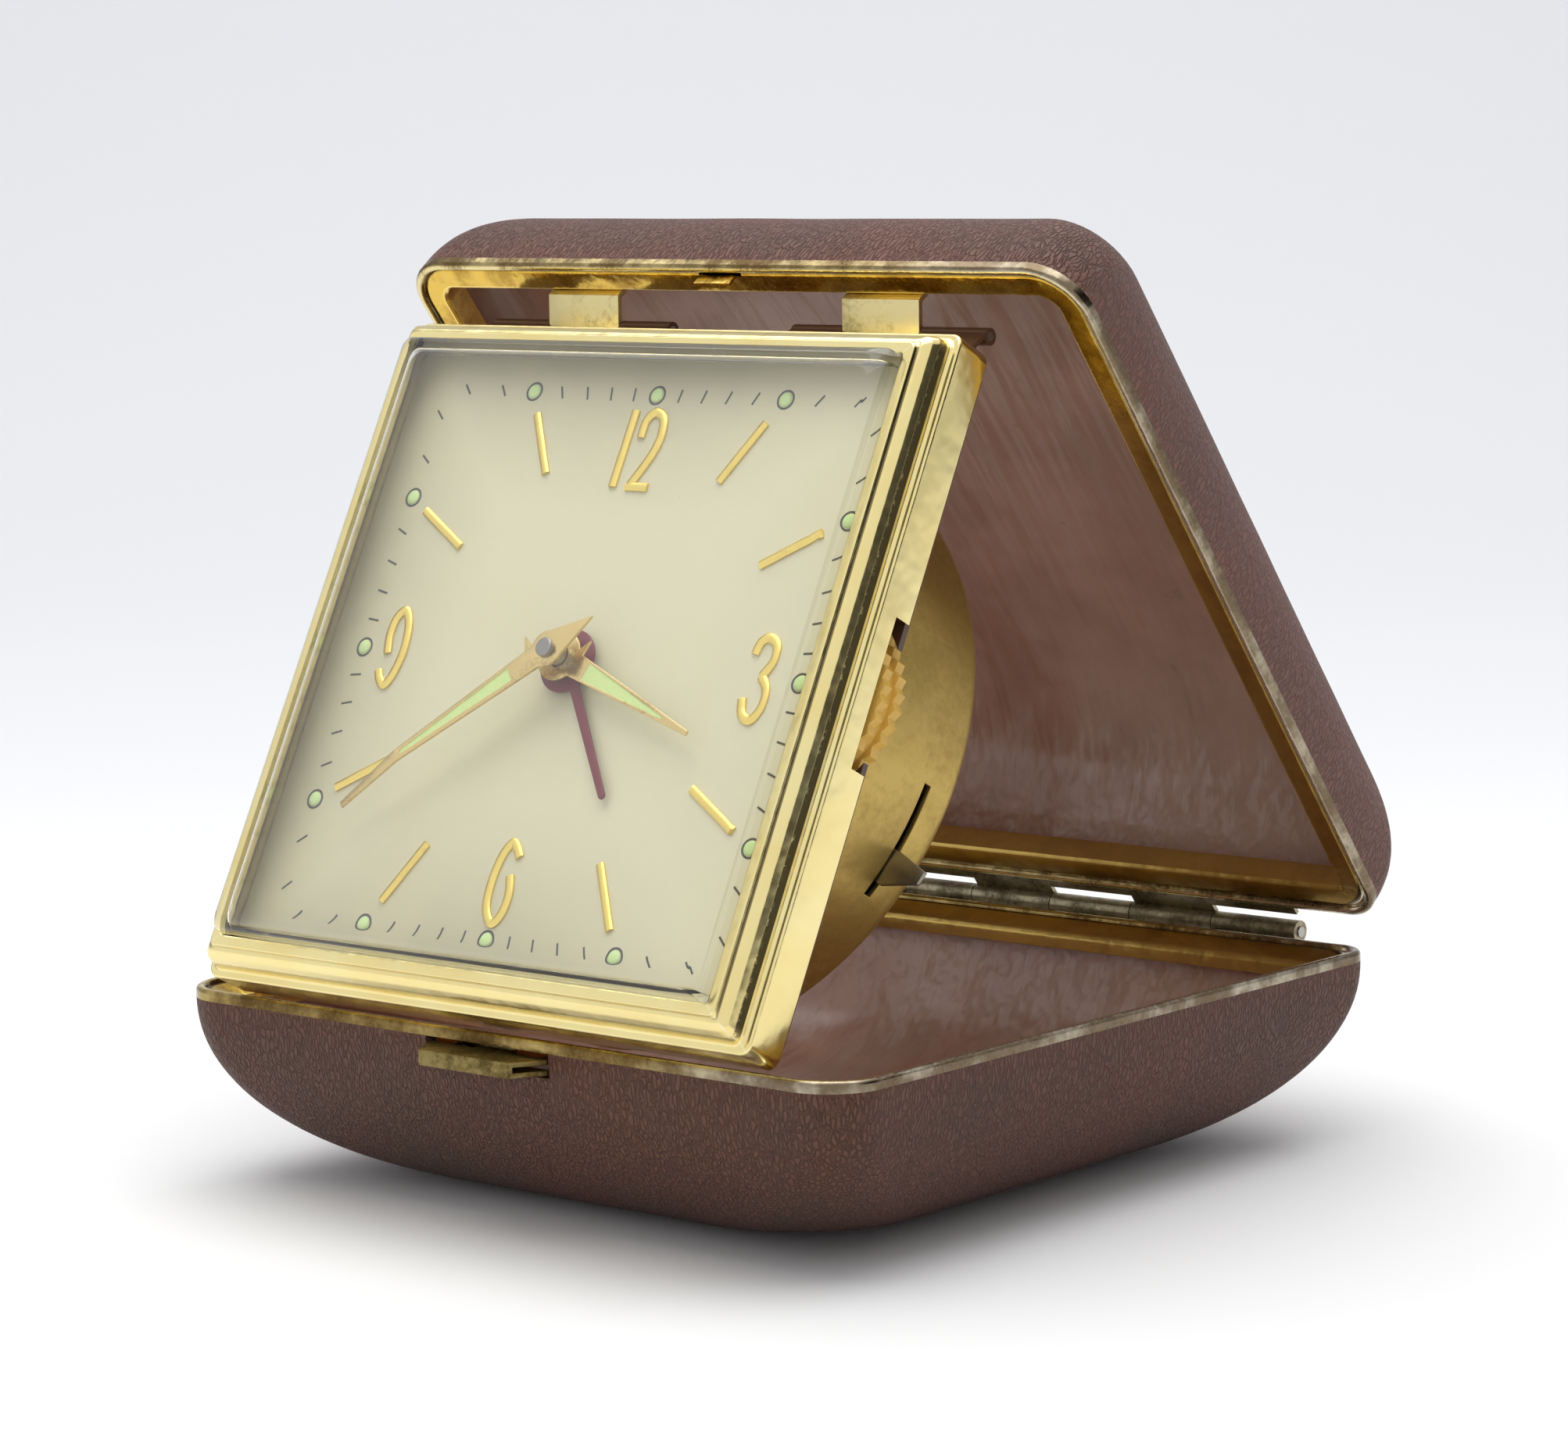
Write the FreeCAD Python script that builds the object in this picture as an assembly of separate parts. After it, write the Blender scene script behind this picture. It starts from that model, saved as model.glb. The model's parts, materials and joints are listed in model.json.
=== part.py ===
import FreeCAD, Part
import math
import os

# Folding travel alarm clock in a padded clamshell case, in millimetres.
# Origin: centre of the flat bottom of the base. X right, Y back, Z up.
# The case stands half open: the lid leans over the base and the clock
# hangs from the lid's front edge with its foot over the base's front rim.

V = FreeCAD.Vector
X_AXIS = V(1, 0, 0)
Z_AXIS = V(0, 0, 1)
ORIGIN = V(0, 0, 0)

overrun = 1.0
fit_gap = 0.05
bearing_gap = 0.03
full_turn = 360.0
half_turn = 180.0
quarter_turn = 90.0

# Case halves
case_size = 76.0
front_corner = 5.0
rear_corner = 3.4
base_pillow = 16.4
base_inset = 17.7
base_fullness_share = 2.06
base_corner_growth_share = 0.58
lid_pillow = 14.7
lid_inset = 20.6
lid_fullness_share = 2.43
lid_corner_growth_share = 0.45
cover_thickness = 0.7
shell_thickness = 0.5
lining_thickness = 0.4
skin_gap = 0.04
least_corner = 0.3

# Brass rim of each half, as offsets in from the outline and depths from the mating plane
bead_height = 1.0
bead_width = 0.88
bead_crown_share = [(0.0, 0.35), (0.22, 0.07), (0.5, 0.0), (0.78, 0.07), (1.0, 0.35)]
groove_step = 0.07
groove_depth = 0.5
shelf_start = 1.2
shelf_end = 3.0
base_shelf_start_depth = 0.5
base_shelf_end_depth = 1.5
base_bend_depth = 1.9
lid_shelf_depth = 0.35
lid_bend_depth = 0.65
rim_width = 3.3
rim_wall_depth = 3.0
rim_sheet = 0.4
shell_lip = 0.2
lining_lip = 0.4

# Case hinge
hinge_setback = 2.93
case_knuckle = 9.35
case_knuckle_gap = 0.1
case_knuckle_count = 6
case_barrel_radius = 1.05
case_pin_radius = 0.5
case_leaf_inner = 0.55
case_leaf_outer = 0.95
case_leaf_strip = 1.2

# Front latch: a folded tab that stands out of the base, with a hook behind the bead
button_half_width = 6.75
button_window_gap = 0.25
button_top = 1.5
button_bottom = 2.85
button_sheet = 0.45
button_reach = 2.9
button_chamfer = 1.7
button_inset = 0.5
hook_sheet = 0.3
hook_half_width = 2.0
hook_offset = 1.32
hook_top = 0.38
hook_window_half_width = 1.5
hook_window_top = 0.68
hook_window_bottom = 1.04
slot_half_width = 2.4
slot_start = 0.98
slot_end = 2.15
slot_depth = 2.0
tongue_offset = 1.0
tongue_sheet = 0.28
tongue_reach = 0.98
tongue_nose = 0.26
nose_sheet = 0.26
nose_half_width = 1.3
tongue_tail = 2.6
spring_sheet = 0.15
spring_half_width = 6.2
spring_height = 0.9
spring_foot = 0.12

# Where the clock's foot stands in the base and its pivot hangs under the lid's front rim
foot_setback = 0.976
foot_rise = 0.153
pivot_setback = 6.15
pivot_below_lid = 1.33
pivot_rise = 2.74
pivot_behind_lip = 9.6
clock_barrel_radius = 0.75
clock_pin_radius = 0.4
hanger_inner = 12.75
hanger_outer = 21.05
hanger_sheet = 0.5
hanger_flange = 2.7
hanger_seat = 0.02
leaf_inner = 7.0
leaf_side = 0.37
leaf_sheet = 0.4
leaf_clearance = 0.5
leaf_overhang = 0.84
knuckle_gap = 0.06

# Bezel, as a frame round the window
window_margin = 10.37
window_extra_height = 0.36
bezel_width = 3.07
bezel_depth = 7.0
window_corner = 0.4
bezel_corner_growth_share = 0.2
bezel_profile_share = [
    (0.0, 0.107), (0.0, 0.01), (0.03, 0.0), (0.29, 0.0), (0.32, 0.012), (0.335, 0.05), (0.391, 0.064),
    (0.456, 0.071), (0.619, 0.136), (0.717, 0.243), (0.739, 0.329), (0.756, 0.4), (0.847, 0.421),
    (0.961, 0.421), (1.0, 0.443), (1.0, 1.0), (0.87, 1.0), (0.87, 0.479), (0.635, 0.45), (0.586, 0.286),
    (0.456, 0.157), (0.293, 0.107)]
notch_bottom = -6.1
notch_top = 7.0
notch_depth = 5.1

# Crystal, as insets from the window and heights over the lip plane
crystal_wall = 0.8
crystal_crown = 2.6
crystal_base = 1.2
crystal_flange = 0.7
crystal_flange_thickness = 0.35
crystal_inset_share = [0.002, 0.002, 0.013, 0.04, 0.095, 0.33, 0.85]
crystal_height_share = [-0.462, 0.115, 0.46, 0.71, 0.845, 0.96, 1.0]
crystal_inner_corner = 0.6

# Dial and its marks
dial_level = -3.04
dial_thickness = 0.3
dial_margin_width = 1.47
dial_margin_height = 1.41
dial_corner = 1.5
dial_bore = 2.0
dial_foot_radius = 0.8
dial_foot_half_spread = 19.0
dot_track_margin_width = 3.01
dot_track_margin_height = 3.29
hours = 12
dot_radius = 0.62
dot_height = 0.15
baton_length = 6.35
baton_margin = 1.63
baton_width = 0.78
marker_height = 0.28
numeral_height = 7.6
numeral_width = 3.1
numeral_stroke = 0.85
one_offset = 1.85
two_offset = 0.85
twelve_margin = 8.44
three_margin = 7.18
six_margin = 8.44
nine_margin = 6.78

# Hands, each as levels over the lip plane and lengths from the centre
minute_angle = 231.2
minute_level = 0.35
minute_sheet = 0.25
minute_margin = 3.43
minute_tail = 5.0
minute_eye = 1.65
minute_bend = 17.0
minute_droop = 1.35
minute_root_half = 1.15
minute_tip_half = 0.27
minute_slot_start = 4.1
minute_slot_end = 16.4
minute_slot_half = 0.68
hour_angle = 109.35
hour_level = -1.3
hour_sheet = 0.25
hour_length = 17.3
hour_eye = 2.2
hour_root = 3.7
hour_root_half = 1.2
hour_tip_half = 0.22
hour_slot_end = 14.0
hour_slot_half = 0.8
slot_taper_share = 0.25
nib_reach = 2.5
nib_place = 1.65
nib_half = 0.75
lume_recess = 0.05
alarm_angle = 144.0
alarm_level = -2.45
alarm_sheet = 0.22
alarm_length = 14.4
alarm_ring = 2.85
alarm_root_half = 0.5
alarm_tip_half = 0.34
nut_radius = 0.85
nut_height = 0.5
nut_crown = 0.18

# Centre pipes
arbor_radius = 0.5
cannon_outer = 0.95
hour_pipe_outer = 1.4
alarm_pipe_outer = 1.85
pipe_gap = 0.05

# Motion work between the dial and the mounting plate
tooth_share = 0.4
addendum_share = 0.7
dedendum_share = 1.0
root_share = 1.35
tip_share = 0.45
motion_module = 0.25
hour_module = 0.24
cannon_teeth = 12
minute_teeth = 36
idler_teeth = 24
setting_teeth = 52
pinion_teeth = 10
hour_teeth = 40
alarm_teeth = 40
alarm_pinion_teeth = 20
motion_back = -5.6
motion_front = -5.1
hour_gear_back = -4.8
hour_gear_front = -4.35
minute_pinion_front = -4.3
alarm_gear_back = -4.1
alarm_gear_front = -3.7
alarm_knob_direction = 225.0
stud_radius = 0.4
stud_front = -4.2

# Thumbwheel
thumb_radius = 8.2
thumb_teeth = 36
thumb_tooth = 0.45
thumb_front = -5.8
thumb_groove_front = -6.7
thumb_groove_back = -7.6
thumb_back = -8.6
thumb_groove = 0.7
thumb_stud_radius = 0.6

# Plates and drum
plate_margin_width = 2.57
plate_margin_height = 2.51
plate_corner = 2.0
plate_back = -7.6
plate_thumb_gap = 0.5
plate_centre_hole = 3.2
drum_margin = 0.37
drum_wall = 0.5
drum_back = -23.0
drum_edge = 1.8
drum_lip = 2.0
front_plate_front = -9.0
front_plate_back = -10.2
rear_plate_front = -17.0
rear_plate_back = -18.0
front_plate_margin = 1.2
rear_plate_margin = 2.4
cover_front = -21.0
cover_back = -21.5
pillar_radius = 1.3
pillar_margin = 4.4
pillar_angles = [68.0, 180.0, 268.0, 362.0]
screw_head_radius = 1.1
screw_head_height = 0.7
screw_slot = 0.3
foot_radius = 1.0
foot_margin = 3.0
foot_angles = [40.0, 140.0, 215.0, 320.0]
cover_screw_margin = 3.4
cover_screw_angles = [20.0, 110.0, 200.0, 290.0]
cover_post_radius = 1.2

# Going train
barrel_teeth = 80
barrel_module = 0.28
centre_pinion_teeth = 10
centre_wheel_teeth = 60
third_pinion_teeth = 8
third_wheel_teeth = 64
fourth_pinion_teeth = 8
fourth_wheel_teeth = 60
escape_pinion_teeth = 6
centre_module = 0.2
third_module = 0.19
fourth_module = 0.18
escape_teeth = 15
escape_radius = 3.2
escape_hub = 1.9
barrel_direction = 150.0
third_direction = 60.0
fourth_direction = 18.5
escape_direction = 320.0
wheel_sheet = 0.35
pinion_reach = 0.45
pivot_radius = 0.35
arbor_body = 0.45
barrel_gear_front = -10.8
barrel_gear_back = -11.4
barrel_drum_radius = 8.4
barrel_drum_back = -15.0
barrel_wall = 0.5
centre_wheel_back = -16.55
third_wheel_back = -15.65
fourth_wheel_back = -12.85
escape_wheel_back = -14.55
pinion_front_margin = 0.3

# Balance and pallet fork
balance_u = 15.2
balance_v = -6.6
balance_radius = 6.5
balance_rim = 0.9
balance_front = -13.2
balance_back = -14.1
spoke_width = 0.9
roller_radius = 1.1
roller_back = -15.9
roller_front = -15.4
pallet_distance = 4.2
pallet_direction = 294.0
pallet_clear = 0.35
fork_gap = 0.25
fork_half = 0.45
hairspring_front = -11.9
hairspring_height = 0.5
hairspring_inner = 0.9
hairspring_pitch = 0.6
hairspring_strip = 0.12
hairspring_half_turns = 8
mainspring_strip = 0.3
mainspring_pitch = 1.3
mainspring_inner = 2.0
mainspring_half_turns = 8
mainspring_height = 2.6
alarm_spring_half_turns = 5
alarm_spring_height = 2.1

# Alarm train and striker
alarm_barrel_u = -8.0
alarm_barrel_v = -17.0
alarm_barrel_teeth = 52
alarm_barrel_drum = 5.7
alarm_barrel_back = -14.4
alarm_escape_pinion_teeth = 8
alarm_escape_direction = 355.0
alarm_escape_radius = 3.2
alarm_escape_back = -15.6
striker_distance = 5.2
striker_direction = 0.0
striker_reach = 12.4
striker_half = 0.6
striker_back = -15.6
striker_sheet = 0.5
hammer_radius = 1.6
hammer_back = -15.6
hammer_front = -11.2

# Keys, knob and shut-off lever at the back
winding_arbor = 1.0
key_hub_radius = 2.0
key_hub_back = -23.2
key_front = -21.8
key_back = -24.0
key_length = 5.5
key_half = 2.4
key_sheet = 0.7
knob_radius = 3.4
knob_front = -21.9
knob_back = -24.2
knob_ridges = 24
knob_ridge = 0.25
lever_front = -18.3
lever_back = -18.7
lever_ring = 4.6
lever_boss = 3.2
lever_half = 1.6
lever_start_angle = -21.0
lever_stand = 3.9
lever_tip = 0.55
slot_low_angle = -27.0
slot_high_angle = -5.5
slot_half_height = 0.45

# Derived places
case_half = case_size / 2
mate_level = base_pillow + bead_height
hinge_y = case_half + hinge_setback

# The clock fills the case, and what it carries follows its window and its drum
window_half_width = case_half - window_margin
window_half_height = window_half_width + window_extra_height
dial_half_width = window_half_width + dial_margin_width
dial_half_height = window_half_height + dial_margin_height
dot_track_half_width = window_half_width - dot_track_margin_width
dot_track_half_height = window_half_height - dot_track_margin_height
baton_end = window_half_width - baton_margin
baton_start = baton_end - baton_length
twelve_place = window_half_height - twelve_margin
three_place = window_half_width - three_margin
six_place = window_half_height - six_margin
nine_place = window_half_width - nine_margin
minute_length = window_half_width - minute_margin
plate_half_width = window_half_width + plate_margin_width
plate_half_height = window_half_height + plate_margin_height
drum_radius = window_half_width + drum_margin
front_plate_radius = drum_radius - front_plate_margin
rear_plate_radius = drum_radius - rear_plate_margin
pillar_circle = drum_radius - pillar_margin
foot_circle = drum_radius - foot_margin
cover_screw_circle = drum_radius - cover_screw_margin
lever_reach = drum_radius + lever_stand
leaf_outer = window_half_width + leaf_side
leaf_foot = drum_radius + leaf_clearance
leaf_bend = window_half_height + bezel_width + leaf_overhang
pivot_above_centre = window_half_height + bezel_width + pivot_rise
pivot_along_lid = case_size + hinge_setback - pivot_setback


def corner_angle(near, far, opposite):
    """Angle in degrees between two sides of a triangle."""
    return math.degrees(math.acos((near * near + far * far - opposite * opposite) / (2 * near * far)))


# Base, lid and clock stand as a triangle: case hinge, clock pivot and clock foot
stance = case_size + hinge_setback - foot_setback
clock_arm = pivot_above_centre + window_half_height + bezel_width
pivot_behind_foot = pivot_behind_lip - bezel_depth
base_side = math.hypot(stance, foot_rise)
lid_side = math.hypot(pivot_along_lid, pivot_below_lid)
clock_side = math.hypot(clock_arm, pivot_behind_foot)
foot_slope = math.degrees(math.atan2(foot_rise, stance))
pivot_slope = math.degrees(math.atan2(pivot_below_lid, pivot_along_lid))
clock_slope = math.degrees(math.atan2(pivot_behind_foot, clock_arm))
open_angle = corner_angle(base_side, lid_side, clock_side) + pivot_slope + foot_slope
clock_tilt = corner_angle(base_side, clock_side, lid_side) + clock_slope - foot_slope
open_cos = math.cos(math.radians(open_angle))
open_sin = math.sin(math.radians(open_angle))
tilt_cos = math.cos(math.radians(clock_tilt))
tilt_sin = math.sin(math.radians(clock_tilt))
pivot_y = hinge_y - pivot_along_lid * open_cos - pivot_below_lid * open_sin
pivot_z = mate_level + pivot_along_lid * open_sin - pivot_below_lid * open_cos
clock_y = pivot_y - pivot_above_centre * tilt_cos - pivot_behind_lip * tilt_sin
clock_z = pivot_z - pivot_above_centre * tilt_sin + pivot_behind_lip * tilt_cos

base_half = {
    "direction": -1, "depth": base_pillow, "inset": base_inset,
    "fullness": base_fullness_share, "growth": base_corner_growth_share,
    "shelf_start_depth": base_shelf_start_depth, "shelf_end_depth": base_shelf_end_depth,
    "bend_depth": base_bend_depth, "slot_end": slot_end}
lid_half = {
    "direction": 1, "depth": lid_pillow, "inset": lid_inset,
    "fullness": lid_fullness_share, "growth": lid_corner_growth_share,
    "shelf_start_depth": lid_shelf_depth, "shelf_end_depth": lid_shelf_depth,
    "bend_depth": lid_bend_depth, "slot_end": tongue_offset + tongue_sheet + fit_gap}
pillow_angles = [0, 15, 30, 45, 58, 70, 80, 90]

parts = {}


def radial(distance, angle):
    turn = math.radians(angle)
    return distance * math.cos(turn), distance * math.sin(turn)


def box(x0, x1, y0, y1, z0, z1):
    return Part.makeBox(x1 - x0, y1 - y0, z1 - z0, V(x0, y0, z0))


def disc(u, v, back, front, radius):
    return Part.makeCylinder(radius, front - back, V(u, v, back))


def tube(u, v, back, front, outer, inner):
    hole = disc(u, v, back - overrun, front + overrun, inner)
    return disc(u, v, back, front, outer).cut(hole)


def rod_x(x0, x1, y, z, radius):
    return Part.makeCylinder(radius, x1 - x0, V(x0, y, z), X_AXIS)


def joined(shapes):
    whole = shapes[0]
    if len(shapes) > 1:
        whole = shapes[0].multiFuse(shapes[1:])
    return whole.removeSplitter()


def outline_wire(half_x, half_y, front_radius, rear_radius, z):
    """Rectangle in a level plane whose front and rear corners have their own radii."""
    corners = [
        (half_x - front_radius, -half_y + front_radius, front_radius, -quarter_turn),
        (half_x - rear_radius, half_y - rear_radius, rear_radius, 0),
        (-half_x + rear_radius, half_y - rear_radius, rear_radius, quarter_turn),
        (-half_x + front_radius, -half_y + front_radius, front_radius, half_turn)]
    arcs = []
    for x, y, radius, start in corners:
        points = []
        for angle in (start, start + quarter_turn / 2, start + quarter_turn):
            dx, dy = radial(radius, angle)
            points.append(V(x + dx, y + dy, z))
        arcs.append(points)
    edges = []
    for index, points in enumerate(arcs):
        previous = arcs[index - 1]
        edges.append(Part.makeLine(previous[2], points[0]))
        edges.append(Part.Arc(*points).toShape())
    return Part.Wire(edges)


def polygon_face(points):
    return Part.Face(Part.makePolygon(points + [points[0]]))


def band(points, thickness, x0, x1):
    """Bent sheet along a path of (y, z) points, extruded from x0 to x1."""
    normals = []
    for (y0, z0), (y1, z1) in zip(points, points[1:]):
        length = math.hypot(y1 - y0, z1 - z0)
        normals.append((-(z1 - z0) / length, (y1 - y0) / length))
    left, right = [], []
    for index, (y, z) in enumerate(points):
        before = normals[max(index - 1, 0)]
        after = normals[min(index, len(normals) - 1)]
        ny, nz = before[0] + after[0], before[1] + after[1]
        scale = thickness / (ny * ny + nz * nz)
        left.append(V(x0, y + ny * scale, z + nz * scale))
        right.append(V(x0, y - ny * scale, z - nz * scale))
    return polygon_face(left + right[::-1]).extrude(V(x1 - x0, 0, 0))


def ring_from_profile(profile, wire_at):
    """Closed frame whose section is a polygon of (offset, level) points."""
    wires = [wire_at(offset, level) for offset, level in profile]
    faces = []
    for index, wire in enumerate(wires):
        for before, after in zip(wires[index - 1].Edges, wire.Edges):
            faces.append(Part.makeRuledSurface(before, after))
    shell = Part.makeShell(faces)
    shell.sewShape()
    solid = Part.makeSolid(shell)
    if solid.Volume < 0:
        solid.reverse()
    return solid


def in_lid(shape):
    """Swings a part of the closed lid open about the case hinge."""
    turned = shape.copy()
    turned.rotate(V(0, hinge_y, mate_level), X_AXIS, -open_angle)
    return turned


def in_clock(shape):
    """Takes a part from the clock's own frame to its place in the open case."""
    turned = shape.copy()
    turned.rotate(ORIGIN, X_AXIS, clock_tilt)
    turned.translate(V(0, clock_y, clock_z))
    return turned


# Padded case halves

def pillow(half, shrink):
    direction = half["direction"]
    depth = half["depth"] - shrink
    wires = []
    for angle in pillow_angles:
        turn = math.radians(angle)
        inward = half["inset"] * (1 - max(math.cos(turn), 0) ** (2 / half["fullness"]))
        down = depth * math.sin(turn) ** (2 / half["fullness"])
        side = case_half - shrink - inward
        grow = half["growth"] * inward - shrink
        z = mate_level + direction * (bead_height + down)
        wires.append(outline_wire(side, side, front_corner + grow, rear_corner + grow, z))
    return Part.makeLoft(wires, True, False)


def level_span(half, shallow, deep):
    """Heights of two depths from the mating plane, lowest first."""
    direction = half["direction"]
    return sorted((mate_level + direction * shallow, mate_level + direction * deep))


def skin(half, outside, thickness, lip):
    wall = pillow(half, outside).cut(pillow(half, outside + thickness))
    if lip > 0:
        low, high = level_span(half, -overrun, bead_height + lip)
        wall = wall.cut(box(-case_size, case_size, -case_size, case_size, low, high))
    return wall


def rim(half):
    direction = half["direction"]
    profile = [(0, bead_height)]
    for across, down in bead_crown_share:
        profile.append((bead_width * across, bead_height * down))
    profile += [
        (bead_width + groove_step, groove_depth),
        (shelf_start, half["shelf_start_depth"]),
        (shelf_end, half["shelf_end_depth"]),
        (rim_width, half["bend_depth"]),
        (rim_width, rim_wall_depth),
        (rim_width - rim_sheet, rim_wall_depth),
        (rim_width - rim_sheet, half["bend_depth"]),
        (shelf_end - rim_sheet / 2, half["shelf_end_depth"] + rim_sheet),
        (bead_width + groove_step, bead_height)]

    def wire_at(offset, depth):
        side = case_half - offset
        front = max(front_corner - offset, least_corner)
        rear = max(rear_corner - offset, least_corner)
        return outline_wire(side, side, front, rear, mate_level + direction * depth)

    return ring_from_profile(profile, wire_at)


def latch_slot(half):
    low, high = level_span(half, 0, slot_depth)
    inner = half["slot_end"] - case_half
    return box(-slot_half_width, slot_half_width, slot_start - case_half, inner, low, high)


def make_case_half(half, name, place):
    shell_offset = cover_thickness + skin_gap
    lining_offset = shell_offset + shell_thickness + skin_gap
    cover = skin(half, 0, cover_thickness, 0)
    shell = skin(half, shell_offset, shell_thickness, shell_lip)
    lining = skin(half, lining_offset, lining_thickness, lining_lip)
    if half is base_half:
        window = button_half_width + button_window_gap
        low, high = level_span(half, 0, button_bottom + button_window_gap)
        inner = rim_width - rim_sheet - fit_gap - case_half
        opening = box(-window, window, -case_size, inner, low, high)
        cover = cover.cut(opening)
    else:
        low, high = level_span(half, 0, tongue_tail + skin_gap)
        inner = slot_end - case_half
        opening = box(-slot_half_width, slot_half_width, slot_start - case_half, inner, low, high)
    parts[name + "_cover"] = place(cover)
    parts[name + "_shell"] = place(shell.cut(opening))
    parts[name + "_lining"] = place(lining.cut(opening))
    parts[name + "_rim"] = place(rim(half).cut(latch_slot(half)))


def same(shape):
    return shape


make_case_half(base_half, "base", same)
make_case_half(lid_half, "lid", in_lid)


# Case hinge: six knuckles on one pin

def case_leaf(half, first):
    direction = half["direction"]
    start = -case_knuckle * case_knuckle_count / 2
    low, high = level_span(half, case_leaf_inner, case_leaf_outer)
    pieces = [box(start, -start, case_half, case_half + case_leaf_strip, low, high)]
    bores = []
    for index in range(first, case_knuckle_count, 2):
        x0 = start + case_knuckle * index + case_knuckle_gap / 2
        x1 = x0 + case_knuckle - case_knuckle_gap
        pieces.append(box(x0, x1, case_half, hinge_y, low, high))
        pieces.append(rod_x(x0, x1, hinge_y, mate_level, case_barrel_radius))
        bores.append(rod_x(x0 - overrun, x1 + overrun, hinge_y, mate_level, case_pin_radius + bearing_gap))
    return joined(pieces).cut(joined(bores))


parts["base_hinge_leaf"] = case_leaf(base_half, 1)
parts["lid_hinge_leaf"] = in_lid(case_leaf(lid_half, 0))
pin_half = case_knuckle * case_knuckle_count / 2 + case_knuckle_gap
parts["case_hinge_pin"] = rod_x(-pin_half, pin_half, hinge_y, mate_level, case_pin_radius)


# Latch: sprung button and hook in the base, tongue in the lid

def make_latch():
    face = -case_half
    face_top = mate_level - button_top
    face_bottom = mate_level - button_bottom
    hook_front = face + hook_offset
    hook_back = hook_front + hook_sheet
    hook_low = face_top - button_sheet
    lip = button_half_width - button_chamfer
    plan = [
        (-button_half_width, face + button_inset), (-button_half_width, face), (-lip, face - button_reach),
        (lip, face - button_reach), (button_half_width, face), (button_half_width, face + button_inset)]
    fold = polygon_face([V(x, y, face_bottom) for x, y in plan])
    fold = fold.extrude(V(0, 0, face_top - face_bottom))
    hollow = box(
        -button_half_width - overrun, button_half_width + overrun,
        face - button_reach + button_sheet, face + button_inset + overrun,
        face_bottom + button_sheet, hook_low)
    bridge = box(-hook_half_width, hook_half_width, face, hook_back, hook_low, face_top)
    hook = box(-hook_half_width, hook_half_width, hook_front, hook_back, hook_low, mate_level - hook_top)
    window = box(
        -hook_window_half_width, hook_window_half_width, hook_front - fit_gap, hook_back + fit_gap,
        mate_level - hook_window_bottom, mate_level - hook_window_top)
    parts["latch_button"] = joined([fold.cut(hollow), bridge, hook]).cut(window)


def bowed_spring():
    """Leaf spring between the latch button and the rim, drawn on a level plane."""
    seat = rim_width - rim_sheet - fit_gap - case_half - spring_sheet / 2
    crest = -case_half + button_inset + fit_gap + spring_sheet / 2
    foot = spring_half_width * (1 - spring_foot)
    path = [(-spring_half_width, seat), (-foot, seat), (0, crest), (foot, seat), (spring_half_width, seat)]
    strip = band(path, spring_sheet, 0, spring_height)
    top = mate_level - button_top - button_sheet - fit_gap
    matrix = FreeCAD.Matrix(0, 1, 0, 0, 0, 0, 1, 0, -1, 0, 0, top, 0, 0, 0, 1)
    return strip.transformShape(matrix, True)


make_latch()
parts["latch_spring"] = bowed_spring()

tongue_front = tongue_offset - case_half
tongue_back = tongue_front + tongue_sheet
tongue = box(
    -hook_half_width, hook_half_width, tongue_front, tongue_back,
    mate_level - tongue_reach, mate_level + tongue_tail)
nose = box(
    -nose_half_width, nose_half_width, tongue_front, tongue_back + tongue_nose,
    mate_level - tongue_reach, mate_level - tongue_reach + nose_sheet)
parts["lid_catch"] = in_lid(joined([tongue, nose]))


# Clock hinge: two hangers on the lid, a leaf on the clock and two pins

def make_hangers():
    y = hinge_y - pivot_along_lid
    z = mate_level - pivot_below_lid
    side = clock_barrel_radius - hanger_sheet / 2
    front = (y - side * open_cos, z - side * open_sin)
    wall = rim_width + hanger_seat + hanger_sheet / 2 - case_half
    run = (front[0] - wall) / open_sin
    bend = (wall, front[1] + run * open_cos)
    path = [front, bend, (wall, bend[1] + hanger_flange)]
    tabs = []
    for sign in (-1, 1):
        x0, x1 = sorted((sign * hanger_inner, sign * hanger_outer))
        strip = band(path, hanger_sheet, x0, x1)
        curl = rod_x(x0, x1, y, z, clock_barrel_radius)
        bore = rod_x(x0 - overrun, x1 + overrun, y, z, clock_pin_radius + bearing_gap)
        tabs.append(joined([strip, curl]).cut(bore))
    return Part.makeCompound(tabs)


parts["clock_hangers"] = in_lid(make_hangers())
pins = []
for sign in (-1, 1):
    x0, x1 = sorted((sign * leaf_inner, sign * leaf_outer))
    pins.append(rod_x(x0, x1, hinge_y - pivot_along_lid, mate_level - pivot_below_lid, clock_pin_radius))
parts["clock_hinge_pins"] = in_lid(Part.makeCompound(pins))


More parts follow.
